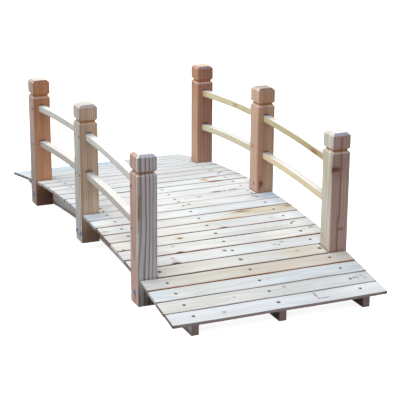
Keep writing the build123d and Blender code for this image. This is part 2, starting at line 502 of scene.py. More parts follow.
def fir(name, ring_mm, rings, fibres, clouds, late_tint, cloud_tint, roughness, relief_mm):
    """Fir, sawn or planed and left bare.

    Fibres are noise drawn out along the grain, and clouds are slow noise. The colour is the piece's own
    tone, multiplied by one tint in rings and fibres and by another in clouds. The tone's alpha says how
    clear the rings are. Knots are brown with a soft halo.
    """
    material, tree = new_material(name)
    grain = add(tree, "ShaderNodeAttribute", output="Vector", attribute_name="grain")
    knot = add(tree, "ShaderNodeAttribute", output="Vector", attribute_name="knot")
    tone = add(tree, "ShaderNodeAttribute", output="Color", attribute_name="tone")
    knot_depth = add(tree, "ShaderNodeSeparateXYZ", [("Vector", knot)], "Z")
    knot_flat = add(tree, "ShaderNodeVectorMath", [(0, knot), (1, (1.0, 1.0, 0.0))], operation="MULTIPLY")
    knot_reach = add(tree, "ShaderNodeVectorMath", [(0, knot_flat)], "Value", operation="LENGTH")
    late = ring_bands(tree, grain, knot_reach, knot_depth, ring_mm)

    clearness = add(tree, "ShaderNodeAttribute", output="Alpha", attribute_name="tone")
    shown = add(tree, "ShaderNodeMath", [(0, late), (1, clearness)], operation="MULTIPLY")
    drawn = add(tree, "ShaderNodeVectorMath", [(0, grain), (1, FIBRE_SCALE)], operation="MULTIPLY")
    fibre = add(tree, "ShaderNodeTexNoise", [("Vector", drawn), ("Scale", 1.0), ("Detail", 5.0),
                                             ("Roughness", 0.65)], "Fac")
    slow = add(tree, "ShaderNodeVectorMath", [(0, grain), (1, CLOUD_SCALE)], operation="MULTIPLY")
    cloud = add(tree, "ShaderNodeTexNoise", [("Vector", slow), ("Scale", 1.0), ("Detail", 3.0)], "Fac")

    fibre_share = add(tree, "ShaderNodeMapRange", [("Value", fibre), ("From Min", 0.3), ("From Max", 0.75),
                                                   ("To Max", fibres)])
    lines = add(tree, "ShaderNodeMath", [(0, shown), (1, rings), (2, fibre_share)], operation="MULTIPLY_ADD")
    cloud_share = add(tree, "ShaderNodeMapRange", [("Value", cloud), ("From Min", 0.38), ("From Max", 0.66),
                                                   ("To Max", clouds)])
    clouded = add(tree, "ShaderNodeMix", [("A", tone), ("B", linear(cloud_tint)), ("Factor", cloud_share)],
                  "Result", data_type="RGBA", blend_type="MULTIPLY")
    grained = add(tree, "ShaderNodeMix", [("A", clouded), ("B", linear(late_tint)), ("Factor", lines)],
                  "Result", data_type="RGBA", blend_type="MULTIPLY")

    halo = add(tree, "ShaderNodeMapRange", [("Value", knot_reach), ("From Min", 2.3), ("From Max", 0.8),
                                            ("To Max", 0.55)], interpolation_type="SMOOTHSTEP")
    halo = add(tree, "ShaderNodeMath", [(0, halo), (1, knot_depth)], operation="MULTIPLY")
    haloed = add(tree, "ShaderNodeMix", [("A", grained), ("B", linear(KNOT_HALO)), ("Factor", halo)],
                 "Result", data_type="RGBA", blend_type="MULTIPLY")
    core = add(tree, "ShaderNodeMapRange", [("Value", knot_reach), ("From Min", 1.2), ("From Max", 0.7)],
               interpolation_type="SMOOTHSTEP")
    core = add(tree, "ShaderNodeMath", [(0, core), (1, knot_depth)], operation="MULTIPLY")
    knotted = add(tree, "ShaderNodeMix", [("A", haloed), ("B", linear(KNOT_CORE)), ("Factor", core)],
                  "Result", data_type="RGBA")

    relief = add(tree, "ShaderNodeMath", [(0, shown), (1, 0.3), (2, fibre)], operation="MULTIPLY_ADD")
    bump = add(tree, "ShaderNodeBump", [("Height", relief), ("Strength", 0.6),
                                        ("Distance", relief_mm / 1000)])
    shader = add(tree, "ShaderNodeBsdfPrincipled", [("Base Color", knotted), ("Normal", bump),
                                                    ("Roughness", roughness), ("IOR", 1.5),
                                                    ("Specular IOR Level", 0.3)])
    add(tree, "ShaderNodeOutputMaterial", [("Surface", shader)])
    return material


def sawn_fir():
    """Sawn fir, dried pale: dull, with faint growth lines and a slightly furry surface."""
    return fir("sawn_fir", ring_mm=4.5, rings=0.3, fibres=0.2, clouds=0.8, late_tint="#CFC4BC",
               cloud_tint="#F2EEE6", roughness=0.75, relief_mm=0.25)


def post_fir():
    """Planed fir in the square: strong upright stripes where the rings meet the faces."""
    return fir("planed_post_fir", ring_mm=8.0, rings=1.0, fibres=0.25, clouds=0.4, late_tint="#A08468",
               cloud_tint="#DCD6D2", roughness=0.6, relief_mm=0.15)


def rail_fir():
    """Planed fir in thin battens: fine lines and a soft sheen."""
    return fir("planed_rail_fir", ring_mm=3.2, rings=0.3, fibres=0.2, clouds=0.5, late_tint="#BCA98A",
               cloud_tint="#F2EFE6", roughness=0.58, relief_mm=0.12)


def stringer_fir():
    """Rough sawn fir: grey blotches and a coarse surface."""
    return fir("rough_sawn_fir", ring_mm=5.0, rings=0.4, fibres=0.3, clouds=0.6, late_tint="#C8BAB0",
               cloud_tint="#ECEAEE", roughness=0.8, relief_mm=0.3)


def steel(name, tint, metallic, roughness):
    """Steel heads, plated or darkened: small dull spots break up the finish."""
    material, tree = new_material(name)
    place = add(tree, "ShaderNodeTexCoord", output="Object")
    spots = add(tree, "ShaderNodeTexNoise", [("Vector", place), ("Scale", SPOT_SCALE),
                                             ("Detail", 2.0)], "Fac")
    share = add(tree, "ShaderNodeMapRange", [("Value", spots), ("From Min", 0.45), ("From Max", 0.8),
                                             ("To Max", 0.6)])
    spotted = add(tree, "ShaderNodeMix", [("A", tint), ("B", linear(DULL_SPOT)), ("Factor", share)],
                  "Result", data_type="RGBA", blend_type="MULTIPLY")
    shader = add(tree, "ShaderNodeBsdfPrincipled", [("Base Color", spotted), ("Metallic", metallic),
                                                    ("Roughness", roughness)])
    add(tree, "ShaderNodeOutputMaterial", [("Surface", shader)])
    return material


# Deck boards

BOARD_COUNT = 25
# Steps between points along and across a board
BOARD_STEPS = (0.010, 0.006)
# How far the nails stand inside each stringer's middle, and from a board's middle line
NAIL_LINES = {"left": (0.0055, 0.0015), "centre": (0.0, 0.0035), "right": (0.0035, 0.0035)}
# Boards with two nails at a stringer, as places across the board
DOUBLE_NAILS = {13: (-0.020, 0.012)}
# Distances over which a colour fades round a nail, from a board's tips and on its near lip
STAIN_REACH = (0.0034, 0.0068)
TIP_REACH = (0.006, 0.018)
LIP_REACH = (0.0014, 0.0030)
# Points added across a board where that lip fades, from its near side
LIP_POINTS = (0.0014, 0.0022)
# Strength of the stain round nails, of the dirt at tips and of the colour of sawn ends
STAIN_SHARE = 0.85
TIP_SHARE = 0.7
END_SHARE = 0.9
# Patches with a half size under this get fine points
SMALL_PATCH = 0.009
# Share of cream in the boards that are warmer than the rest, the most in any other, and share of fresh
# wood on long edges
CREAM_SHARE = {2: 0.45, 4: 0.8, 5: 0.6, 7: 0.3, 8: 0.3, 9: 0.3, 10: 0.2, 18: 0.3}
MOST_CREAM = 0.12
FRESH_EDGE = {4: 1.0, 5: 0.3, 6: 0.4, 7: 0.6, 8: 0.6, 9: 0.5, 10: 0.5, 11: 0.25, 12: 0.1}
# Share of painted shade in the gaps, darkening the long edges, or of the pale colour where it is below 0
GAP_SHADE = {
    **dict.fromkeys(range(14, BOARD_COUNT + 1), -0.3), 1: 0.2, 2: -0.2, 3: -0.4, 4: 0.4, 5: 0.3, 6: 0.5,
    7: 0.1, 8: 0.7, 9: 0.1, 12: -0.2, 16: 0.9, 17: 0.7, 18: 0.1, 19: 0.15, 20: 0.45, 21: 0.8,
}
# Knots that stand out, by board: place along and across, half length, half width, depth of colour
BOARD_KNOTS = {
    1: [(-0.170, -0.002, 0.006, 0.005, 0.4), (0.0, 0.0035, 0.0050, 0.0045, 0.7)],
    2: [(-0.110, -0.001, 0.004, 0.003, 0.4), (0.053, 0.013, 0.005, 0.004, 0.35),
        (0.277, 0.0045, 0.005, 0.004, 0.6), (0.304, 0.0105, 0.005, 0.004, 0.35),
        (0.308, -0.0055, 0.006, 0.004, 0.3)],
    3: [(0.031, 0.007, 0.006, 0.003, 0.25)],
    5: [(0.188, 0.0075, 0.006, 0.004, 0.3), (-0.261, 0.0015, 0.0055, 0.005, 0.7),
        (0.0, 0.0035, 0.0055, 0.005, 0.7), (0.263, 0.0035, 0.0060, 0.005, 1.0)],
    6: [(-0.192, 0.005, 0.006, 0.004, 0.4), (-0.023, 0.008, 0.006, 0.005, 0.75),
        (-0.193, -0.027, 0.012, 0.006, 0.9), (0.140, 0.003, 0.004, 0.003, 0.6),
        (0.152, -0.003, 0.004, 0.003, 0.6), (0.171, 0.013, 0.005, 0.003, 0.7)],
    7: [(-0.162, 0.015, 0.006, 0.004, 0.3), (-0.155, -0.028, 0.009, 0.004, 1.0),
        (0.307, 0.021, 0.008, 0.005, 0.4), (0.263, 0.0035, 0.0050, 0.0045, 0.5)],
    8: [(-0.119, 0.001, 0.007, 0.004, 0.9), (0.0, 0.0035, 0.0050, 0.0045, 0.6),
        (0.274, 0.013, 0.006, 0.004, 0.7)],
    9: [(0.043, -0.027, 0.012, 0.005, 0.7), (0.221, -0.001, 0.006, 0.003, 0.3)],
    10: [(0.152, 0.017, 0.022, 0.007, 0.45), (0.322, 0.015, 0.012, 0.006, 0.5)],
    12: [(0.020, 0.006, 0.007, 0.005, 0.5), (0.255, 0.013, 0.006, 0.004, 0.6)],
    13: [(0.082, 0.006, 0.010, 0.006, 0.4)],
    14: [(0.161, -0.026, 0.018, 0.007, 0.6), (0.222, -0.024, 0.018, 0.006, 0.5)],
    17: [(0.280, 0.019, 0.007, 0.005, 1.0)],
    18: [(0.262, -0.001, 0.009, 0.006, 0.4)],
}
# Bleached left tip of the boards past the middle
PALE_TIP = (-0.31, 0.0, 0.10, 0.06, "#F0F8FF", 1.0)
# Soft patches of other colours: place along and across, half length, half width, colour, strength
BOARD_PATCHES = {
    1: [(0.0, 0.0, 0.600, 0.100, "#E4ECFA", 0.4), (0.1195, 0.010, 0.0050, 0.021, "#9C7268", 0.8),
        (0.140, -0.0105, 0.024, 0.0042, "#9C7268", 0.8), (0.122, -0.010, 0.006, 0.005, "#8C6864", 0.8),
        (0.290, 0.0, 0.160, 0.060, "#F2FAFF", 0.6)],
    2: [(0.22, 0.0, 0.17, 0.06, "#E8F0FF", 0.25)],
    3: [(-0.335, 0.006, 0.090, 0.045, "#BEDCF8", 0.8), (-0.335, 0.0, 0.160, 0.060, "#E6EEF2", 0.7),
        (0.31, 0.0, 0.080, 0.050, "#CFDEEA", 0.6)],
    4: [(0.10, 0.0, 0.35, 0.06, "#D2CABE", 0.6), (0.097, -0.002, 0.070, 0.014, "#DCC0A0", 0.3),
        (-0.31, 0.0, 0.080, 0.050, "#CFD0D6", 0.7), (0.32, 0.0, 0.12, 0.05, "#C9C2C0", 0.7)],
    5: [(0.19, 0.0, 0.12, 0.06, "#D8D2C4", 0.6)],
    6: [(0.326, 0.0, 0.05, 0.04, "#D6BFA2", 0.5)],
    7: [(0.20, 0.0, 0.10, 0.05, "#F4F6F4", 0.8)],
    8: [(-0.30, 0.0, 0.08, 0.05, "#FAFEFC", 0.8), (0.30, 0.0, 0.08, 0.05, "#F4FAFA", 0.7),
        (-0.119, 0.003, 0.028, 0.018, "#DCD4BC", 0.6), (-0.311, -0.027, 0.008, 0.006, "#4A3A30", 0.9)],
    9: [(0.30, 0.0, 0.08, 0.05, "#F4FAFF", 0.8)],
    10: [(0.24, 0.005, 0.20, 0.040, "#D6CBAC", 0.7), (0.150, 0.014, 0.016, 0.010, "#B08A62", 0.7),
         (0.185, 0.024, 0.030, 0.009, "#D8A878", 0.7), (0.080, -0.026, 0.100, 0.010, "#E4C08C", 0.8),
         (0.310, 0.016, 0.045, 0.010, "#D8B478", 0.7), (-0.318, -0.006, 0.022, 0.010, "#B09470", 0.7)],
    11: [(-0.30, 0.0, 0.08, 0.05, "#F6FFFF", 0.8), (0.30, 0.0, 0.08, 0.05, "#DCEAF8", 0.8)],
    12: [(0.05, 0.0, 0.28, 0.08, "#FAFCFF", 0.3), (-0.31, 0.0, 0.07, 0.05, "#BFD4E8", 0.8),
         (0.30, 0.0, 0.07, 0.05, "#B4C8E0", 0.8)],
    13: [(0.03, 0.0, 0.28, 0.08, "#FAFCFF", 0.35)],
    14: [PALE_TIP],
    15: [PALE_TIP, (0.320, 0.0, 0.07, 0.06, "#FFFFFF", 1.0), (0.207, 0.026, 0.038, 0.008, "#B88466", 0.8)],
    16: [PALE_TIP, (0.183, 0.004, 0.018, 0.026, "#CCA87C", 0.9),
         (0.215, 0.024, 0.042, 0.008, "#B88C60", 0.9), (0.205, -0.026, 0.040, 0.007, "#B07858", 0.9)],
    17: [PALE_TIP],
    18: [PALE_TIP, (0.262, -0.001, 0.022, 0.012, "#D6BE8C", 0.6)],
    23: [(-0.18, 0.0, 0.25, 0.08, "#D4E6F4", 0.5)],
    24: [(-0.18, 0.0, 0.30, 0.08, "#D2E8F6", 0.8)],
    25: [(-0.10, 0.0, 0.40, 0.08, "#C6E0F4", 0.9)],
}
# Colour of the sawn ends of boards that differ from the rest
BOARD_ENDS = {
    **dict.fromkeys((2, 5, 6, 9, 10, 13, 21), "#86685A"), **dict.fromkeys(range(14, 21), "#C2BCBE"),
    1: "#70503C", 3: "#C8C4C4", 4: "#A89C94", 7: "#DADFEA", 8: "#F2F4FC", 11: "#B0B4BA", 22: "#928A80",
    23: "#66625A", 24: "#76777C", 25: "#6C7294",
}


def board_frame(node):
    """Middle, directions along the deck and up, and half sizes of a board, from the spread of its corners."""
    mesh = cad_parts[node].data
    corners = np.empty(len(mesh.vertices) * 3)
    mesh.vertices.foreach_get("co", corners)
    corners = corners.reshape(-1, 3)
    _, axes = np.linalg.eigh(np.cov(corners[:, 1:].T))
    along = axes[:, 1] * np.sign(axes[0, 1])
    up = np.array([-along[1], along[0]])
    spread = corners[:, 1:] @ np.column_stack([along, up])
    low, high = spread.min(axis=0), spread.max(axis=0)
    middle = np.column_stack([along, up]) @ ((low + high) / 2)
    half = [corners[:, 0].max(), *((high - low) / 2)]
    return middle, along, up, half


def nail_places(number, look):
    """Where the nails of one board stand: over each of the three stringers, a little off their lines."""
    random = np.random.default_rng(SEEDS["nails"] + number)
    spots = []
    for place, (inwards, offset) in NAIL_LINES.items():
        line = span(f"stringer_{place}_near")[0]
        for across in DOUBLE_NAILS.get(number, (offset,)):
            scatter = look.nail_scatter * (random.random(2) - 0.5)
            spots.append((line - np.sign(line) * inwards + scatter[0], across + 2 * scatter[1]))
    return spots


def painted_shade_share(number, u):
    """Share of the greyer tint: painted shade on the first boards and on the right half, most of all on the
    near boards and, past the fifth, less at its tip; and a greyer tint on the far ones but for their left
    tips.

    Each part fades in over a few boards or centimetres.
    """
    near = 0.5 * smooth(6, 3, number)
    far = 0.4 * smooth(14, 19, number) * smooth(-0.32, -0.24, u)
    right = smooth(-0.12, 0.10, u) - 0.7 * smooth(0.24, 0.30, u) * (number > 5)
    return near + far + (0.65 if number < 14 else 0.2) * right


def sawn_edge_tone(number, u, half_length, look):
    """Colour of a board's long edges: weathered or fresh, then darkened by painted gap shade or lightened, and
    dirty at the tips.
    """
    tone = mixed(np.array(look.edge), look.fresh_edge, FRESH_EDGE.get(number, 0.0))
    # painted gap shade: long edges darkened, or lightened, so that the gaps between boards look shaded
    gap_shade = GAP_SHADE.get(number, 0.0)
    tone = mixed(tone, look.dirt_and_gap_shade if gap_shade > 0 else look.pale, abs(gap_shade))
    return mixed(tone, look.dirt_and_gap_shade, TIP_SHARE * fading(TIP_REACH, half_length - np.abs(u)))


def board_tone(number, local, half, look, nails, random):
    """Colour of a board: pale or cream, greyer in places, in part as painted shade, patched, stained round
    nails, and sawn all round.

    The colour of the long edges covers their sides and lower arrises, and where they are fresh or carry
    painted gap shade also the lip of the top on the near side.
    """
    u, v, w = np.moveaxis(local, -1, 0)
    tone = mixed(np.array(look.pale), look.cream, CREAM_SHARE.get(number, MOST_CREAM * random.random()))
    # painted shade: the greyer tint darkens the near boards and the right half of the deck
    tone = tone * (1 - (1 - np.array(look.shaded)) * painted_shade_share(number, u)[..., None])
    tone = patched(tone, u, v, BOARD_PATCHES.get(number, []))
    to_nail = np.min([np.hypot(u - x, v - y) for x, y in nails], axis=0)
    tone = mixed(tone, look.nail_stain, STAIN_SHARE * fading(STAIN_REACH, to_nail))
    sawn = sawn_edge_tone(number, u, half[0], look)
    side = fading((look.arris * 0.1, look.arris * 0.6), half[1] - np.abs(v))
    below = fading((look.arris * 0.1, look.arris * 0.8), half[2] + w)
    tone = mixed(tone, sawn, np.maximum(side, below))
    strength = max(FRESH_EDGE.get(number, 0.0), GAP_SHADE.get(number, 0.0), 0)
    tone = mixed(tone, sawn, strength * fading(LIP_REACH, half[1] + v))
    return mixed(tone, BOARD_ENDS.get(number, look.end), END_SHARE * on_end(u, look.arris))


def deck_board(number, material, look):
    """One board: a rounded section carried along X, with crook, cup, uneven ends and dimples at its nails."""
    node = f"plank_{number:02d}"
    random = np.random.default_rng(SEEDS["board"] + number)
    middle, along, up, half = board_frame(node)
    nails = nail_places(number, look)
    short = [look.uneven_end * random.random() for _ in SIDES]
    patches = BOARD_PATCHES.get(number, [])
    spots = nails + [(x, v) for x, v, long, wide, *_ in patches if min(long, wide) < SMALL_PATCH]
    step, step_across = BOARD_STEPS
    stations = with_ends(places(short[0] - half[0], half[0] - short[1], step, [x for x, _ in spots]),
                         look.arris)
    flat_v = places(-half[1], half[1], step_across, sorted({round(v, 3) for _, v in spots}), reach=0.007)
    flat_v = np.sort(np.concatenate([flat_v, np.array(LIP_POINTS) - half[1]]))
    ring = rounded_ring(half[1], half[2], look.arris, flat_v, np.zeros(1))
    local = bar(stations, ring)
    u, v, w = np.moveaxis(local, -1, 0)
    inset = end_easing(u, look.arris)
    lift = look.cup * (v / half[1]) ** 2 * random.choice([-1, 1]) + wander(u, random, 0.6, WAVE)
    for nail_x, nail_v in nails:
        reach = np.hypot(u - nail_x, v - nail_v)
        lift -= hollow(reach, look.dimple_radius, look.dimple_lip, look.dimple_depth) * (w > 0)
    across = (v * (1 - (inset + look.crook) / half[1]) + wander(u, random, 0.5, look.crook * 0.6)
              + wander(u, random, 0.09, look.crook * 0.3) * np.sign(v))
    height = w * (1 - inset / half[2]) + lift
    points = np.empty_like(local)
    points[..., 0] = u
    points[..., 1:] = middle + across[..., None] * along + height[..., None] * up
    pith = (0.02 * random.normal(), -0.03 - 0.05 * random.random())
    return finished(
        f"deck_board_{number:02d}", points, skin_faces(u.shape), material, "deck_boards", [node],
        grain=grain_of(local, pith, number), knot=knots_of(u, v, BOARD_KNOTS.get(number, [])),
        tone=board_tone(number, local, half, look, nails, random))


class FOOTBRIDGE_OT_deck_boards(bpy.types.Operator):
    """Build the 25 deck boards"""
    bl_idname = "footbridge.deck_boards"
    bl_label = "Deck boards"

    def execute(self, context):
        material = sawn_fir()
        for number in range(1, BOARD_COUNT + 1):
            deck_board(number, material, settings().boards)
        return {"FINISHED"}


# Stringers

# Steps between points along and around a stringer
STRINGER_STEPS = (0.009, 0.006)
# Share of the darker lower edge where it is fainter
UNDER_SHARE = {"stringer_left_near": 0.3}
# Heights above the lower edge over which its own colour and the lower face's fade
UNDER_REACH = (0.002, 0.012)
MIDDLE_REACH = (0.010, 0.022)
# Number and strength of the blotches on half a stringer, and the length over which they lie
BLOTCHES = 14
BLOTCH_SHARE = 0.6
BLOTCH_RUN = 0.75
# Shares of the half width over which the outer face's colour sets in
OUTER_FACE = (0.90, 0.98)


def stringer_edges(y, look, crown):
    """Heights of a stringer's top and lower edge at distances y from the crown.

    The top is an arc and then its tangent; the lower edge is a second arc about the same centre, cut by
    the ground.
    """
    centre = crown - look.seat_radius
    turn = look.bend_run / look.seat_radius
    bend_y = look.seat_radius * np.sin(turn)
    arc = centre + np.sqrt(look.seat_radius ** 2 - np.minimum(y, bend_y) ** 2)
    top = arc - np.tan(turn) * np.maximum(y - bend_y, 0)
    belly = centre + np.sqrt((look.seat_radius - look.depth) ** 2 - y ** 2)
    return top, np.maximum(belly, 0)


def stringer_tone(place, node, u, tall, above, outwards, look, random):
    """Colour of a stringer: face bleached and painted lighter against the deck's shade, darker towards its
    lower edge, with pale blotches and cut ends.

    tall is the height from the middle line, above is that from the lower edge, and outwards is 1 on the
    outer face. All other faces take the inner colour, a painted shade of the space under the deck.
    """
    # painted light: the white face makes up for the shade of the deck's overhang
    tone = mixed(np.array(look.middle), look.face, smooth(*MIDDLE_REACH, above))
    tone = mixed(tone, look.under, UNDER_SHARE.get(node, 1.0) * fading(UNDER_REACH, above))
    spots = [(u.min() + BLOTCH_RUN * random.random(), 0.02 * random.normal(), 0.03 + 0.03 * random.random(),
              0.008 + 0.006 * random.random()) for _ in range(BLOTCHES)]
    if place != "centre":
        tone = patched(tone, u, tall, [(*spot, look.blotch, BLOTCH_SHARE) for spot in spots])
    # painted shade: all faces but the outer one take the dark inner colour
    tone = mixed(np.array(look.inner), tone, smooth(*OUTER_FACE, outwards))
    return mixed(tone, look.end, on_end(u, look.arris))


def stringer(place, end, material, look, seed):
    """Half of a stringer: a rounded section, as tall as the arch leaves it, carried along Y."""
    node = f"stringer_{place}_{end}"
    middle_x, half_w, start, stop = span(node)
    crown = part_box(node)[1].z
    sign = ENDS[end]
    random = np.random.default_rng(SEEDS["stringer"] + seed)
    step, step_around = STRINGER_STEPS
    half_v = look.depth / 2
    ring = rounded_ring(half_v, half_w, look.arris, places(-half_v, half_v, step_around),
                        places(-half_w, half_w, step_around))
    local = bar(with_ends(places(start, stop, step), look.arris), ring)
    u, v, w = np.moveaxis(local, -1, 0)
    top, bottom = stringer_edges(u, look, crown)
    half, flat = (top - bottom) / 2, half_v - look.arris
    tall = np.where(np.abs(v) >= flat, v - np.sign(v) * (half_v - half), v * (half - look.arris) / flat)
    inset = end_easing(u, look.arris)
    across = w * (1 - inset / half_w) + wander(u, random, 0.4, WAVE)
    height = (top + bottom) / 2 + tall * (1 - inset / half)
    points = np.stack([middle_x + sign * across, sign * u, height], axis=-1)
    outwards = sign * STRINGER_SIDES[place] * w / half_w
    tone = stringer_tone(place, node, u, tall, tall + half, outwards, look, random)
    pith = (0.03 + 0.04 * random.random(), 0.01 * random.normal())
    lie = np.stack([u, height, across], axis=-1)
    return finished(
        f"{node}_timber", points, skin_faces(u.shape), material, "stringers", [node],
        grain=grain_of(lie, pith, GRAIN_START["stringer"] + seed), knot=knots_of(u, tall, []), tone=tone)


class FOOTBRIDGE_OT_stringers(bpy.types.Operator):
    """Build the six halves of the arched stringers"""
    bl_idname = "footbridge.stringers"
    bl_label = "Stringers"

    def execute(self, context):
        material = stringer_fir()
        names = [(place, end) for place in STRINGER_SIDES for end in ENDS]
        for seed, (place, end) in enumerate(names):
            stringer(place, end, material, settings().stringers, seed)
        return {"FINISHED"}


# Rails

# Steps between points along and around a rail
RAIL_STEPS = (0.008, 0.005)
# A rail's end is square to its arc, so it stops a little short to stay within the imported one
RAIL_END_GAP = 0.001
# How clear the rings stay on the tops, bleached and painted white to look lit
TOP_RINGS = 0.3
# Heights from the lower face over which the painted shade of the lower edge fades, and its strength
RAIL_UNDER_SHADE_REACH = (0.0015, 0.0035)
RAIL_UNDER_SHADE_SHARE = 0.5
# Distance from a post at which a top has its full painted shade of the post
POST_SHADE_FULL = 0.004
# Colour of each rail's sides
RAIL_SIDES = {
    "rail_left_near_upper": "#ECF0ED",
    "rail_left_near_lower": "#D3D0CD",
    "rail_left_far_upper": "#E2E4DF",
    "rail_left_far_lower": "#C8C7C4",
    "rail_right_near_upper": "#DAD1AA",
    "rail_right_near_lower": "#FAEDCA",
    "rail_right_far_upper": "#EBE4C1",
    "rail_right_far_lower": "#E8E3C4",
}
# Knots of the rails: place along and across, half length, half width, depth of colour
RAIL_KNOTS = {
    "rail_right_far_upper": [(0.19, 0.001, 0.007, 0.003, 0.35)],
    "rail_left_near_lower": [(0.12, 0.0, 0.006, 0.003, 0.3)],
}
# Browner stretches of the rails: place along and across, half length, half width, colour, strength
RAIL_PATCHES = {
    "rail_right_near_upper": [(0.380, 0.0, 0.120, 0.050, "#C8AC7C", 0.6),
                              (0.385, -0.003, 0.035, 0.009, "#A06430", 0.7)],
    "rail_right_far_upper": [(0.120, 0.0, 0.060, 0.050, "#D8CCA8", 0.6),
                             (0.190, 0.0, 0.035, 0.012, "#C89458", 0.45),
                             (0.500, 0.0, 0.090, 0.050, "#C89C7C", 0.6)],
}


def rail_centre(node, look):
    """Height above the ground of the centre of a rail's arc, worked out from its end nearer the crown."""
    start, top = span(node)[2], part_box(node)[1].z
    return top - np.sqrt((look.radius + look.height / 2) ** 2 - start ** 2)


def rail_height_at(y, node, look):
    """Height of a rail's middle line at a distance y from the crown: a point of its circle."""
    return rail_centre(node, look) + np.sqrt(look.radius ** 2 - y ** 2)


def rail_tone(node, u, v, free, half_v, look):
    """Colour of a rail: its own on the sides, bleached and painted white on top to look lit, and darker along
    the lower edge as painted shade.

    Beside the posts the top is painted darker, as painted shade of the posts: free is the distance from the
    nearer one.
    """
    sides = np.broadcast_to(linear(RAIL_SIDES[node]), (*u.shape, 4))
    sides = patched(sides, u, v, RAIL_PATCHES.get(node, []))
    # painted shade: tops darkened near the posts
    top = mixed(np.array(look.top), look.post_shade_top, fading((POST_SHADE_FULL, look.post_shade_reach), free))
    # painted light: the white top, also where the upper rails shade the lower ones
    upper = smooth(half_v - look.arris, half_v - 0.0002, v)
    tone = mixed(sides, top, upper)
    tone[..., 3] = 1 - (1 - TOP_RINGS) * upper
    # painted shade along the lower edge
    return mixed(tone, look.under, RAIL_UNDER_SHADE_SHARE * fading(RAIL_UNDER_SHADE_REACH, half_v + v))


def rail(side, end, level, material, look, seed):
    """One rail: a rounded section carried along an arc about a centre far below, in the plane of Y and Z."""
    node = f"rail_{side}_{end}_{level}"
    middle_x, half_w, start, stop = span(node)
    sign = ENDS[end]
    random = np.random.default_rng(SEEDS["rail"] + seed)
    first, last = (np.arcsin(y / look.radius) * look.radius for y in (start, stop))
    step, step_around = RAIL_STEPS
    half_v = look.height / 2
    ring = rounded_ring(half_v, half_w, look.arris, places(-half_v, half_v, step_around),
                        places(-half_w, half_w, step_around))
    local = bar(places(first, last - RAIL_END_GAP, step), ring)
    u, v, w = np.moveaxis(local, -1, 0)
    radius = look.radius + v + wander(u, random, 0.35, WAVE)
    across = w + wander(u, random, 0.5, WAVE)
    turn = u / look.radius
    points = np.stack([middle_x + sign * across, sign * radius * np.sin(turn),
                       rail_centre(node, look) + radius * np.cos(turn)], axis=-1)
    free = np.minimum(u - first, last - u) - settings().posts.mortise_depth
    pith = (0.02 + 0.03 * random.random(), 0.02 * random.normal())
    return finished(
        f"{node}_batten", points, skin_faces(u.shape), material, "rails", [node],
        grain=grain_of(local, pith, GRAIN_START["rail"] + seed),
        knot=knots_of(u, v, RAIL_KNOTS.get(node, [])),
        tone=rail_tone(node, u, v, free, half_v, look))


class FOOTBRIDGE_OT_rails(bpy.types.Operator):
    """Build the eight curved rails"""
    bl_idname = "footbridge.rails"
    bl_label = "Rails"

    def execute(self, context):
        material = rail_fir()
        names = [(side, end, level) for side in SIDES for end in ENDS for level in LEVELS]
        for seed, (side, end, level) in enumerate(names):
            rail(side, end, level, material, settings().rails, seed)
        return {"FINISHED"}


# Posts

class Timber(NamedTuple):
    """Timber of one post: colours of sapwood, heartwood and cap, place in the log, clearness of rings, painted
    highlights

    heart_lies is a direction in (v, w) and an offset: heartwood lies where their sum is above 0. The painted
    highlights hold one share for the arrises and one for the groove's shoulder.
    """
    sap: str
    heart: str
    pith: tuple
    ring: float
    sap_rings: float
    heart_rings: float
    heart_lies: tuple = (1, -1, 0.0)
    narrowing: float = 1.0
    edge_highlights: tuple = (0.2, 0.0)
    chamfer: str = "#A8A3B0"
    top: str = "#EDE7E2"


# Ring width that the posts' material draws unscaled
TIMBER_RING = 0.008
POST_TIMBER = {
    "left_near": Timber("#D8D9E1", "#D6B3A7", (-0.050, -0.001), 0.0240, 0.9, 0.4, (-1, 1, -0.004), 2.0,
                        edge_highlights=(1.0, 0.35), chamfer="#B6C0CE", top="#FAF8FA"),
    "left_middle": Timber("#CFD2CA", "#DBC2AC", (0.055, -0.050), 0.0056, 0.8, 0.75, chamfer="#A09CA4",
                          top="#DDD9D2"),
    "left_far": Timber("#C2B0A9", "#D7A17E", (0.055, -0.050), 0.0056, 0.3, 0.5, edge_highlights=(0.1, 0.3),
                       chamfer="#825D43"),
    "right_near": Timber("#E6E6DA", "#CAAEA6", (0.060, -0.045), 0.0090, 0.2, 0.45, edge_highlights=(0.4, 0.5),
                         chamfer="#AAA8C2", top="#F6F6F6"),
    "right_middle": Timber("#DCBDA8", "#C49C84", (0.050, -0.050), 0.0058, 0.35, 0.5, edge_highlights=(0.1, 0.3),
                           chamfer="#846E6C", top="#BCB4B2"),
    "right_far": Timber("#CCA48B", "#B5856F", (0.045, -0.050), 0.0062, 0.3, 0.7, edge_highlights=(0.0, 0.5),
                        chamfer="#8E787F", top="#F0DCC4"),
}
# Knots, by post and face: height, place across, half height, half width, depth of colour
POST_KNOTS = {
    "left_middle": {"front": [(0.265, -0.003, 0.0045, 0.010, 0.5)]},
    "left_far": {"left": [(0.2176, 0.015, 0.006, 0.006, 0.6), (0.350, -0.010, 0.006, 0.006, 0.4)]},
    "right_near": {"front": [(0.341, -0.020, 0.0065, 0.017, 1.0), (0.152, 0.006, 0.004, 0.009, 0.5)],
                   "left": [(0.341, -0.031, 0.008, 0.006, 0.6)]},
    "right_middle": {"front": [(0.153, -0.017, 0.0075, 0.0070, 0.9), (0.141, -0.0205, 0.009, 0.004, 0.5)],
                     "left": [(0.276, 0.010, 0.005, 0.005, 0.5), (0.150, -0.005, 0.005, 0.005, 0.5)]},
    "right_far": {"front": [(0.240, 0.002, 0.005, 0.008, 0.3)]},
}
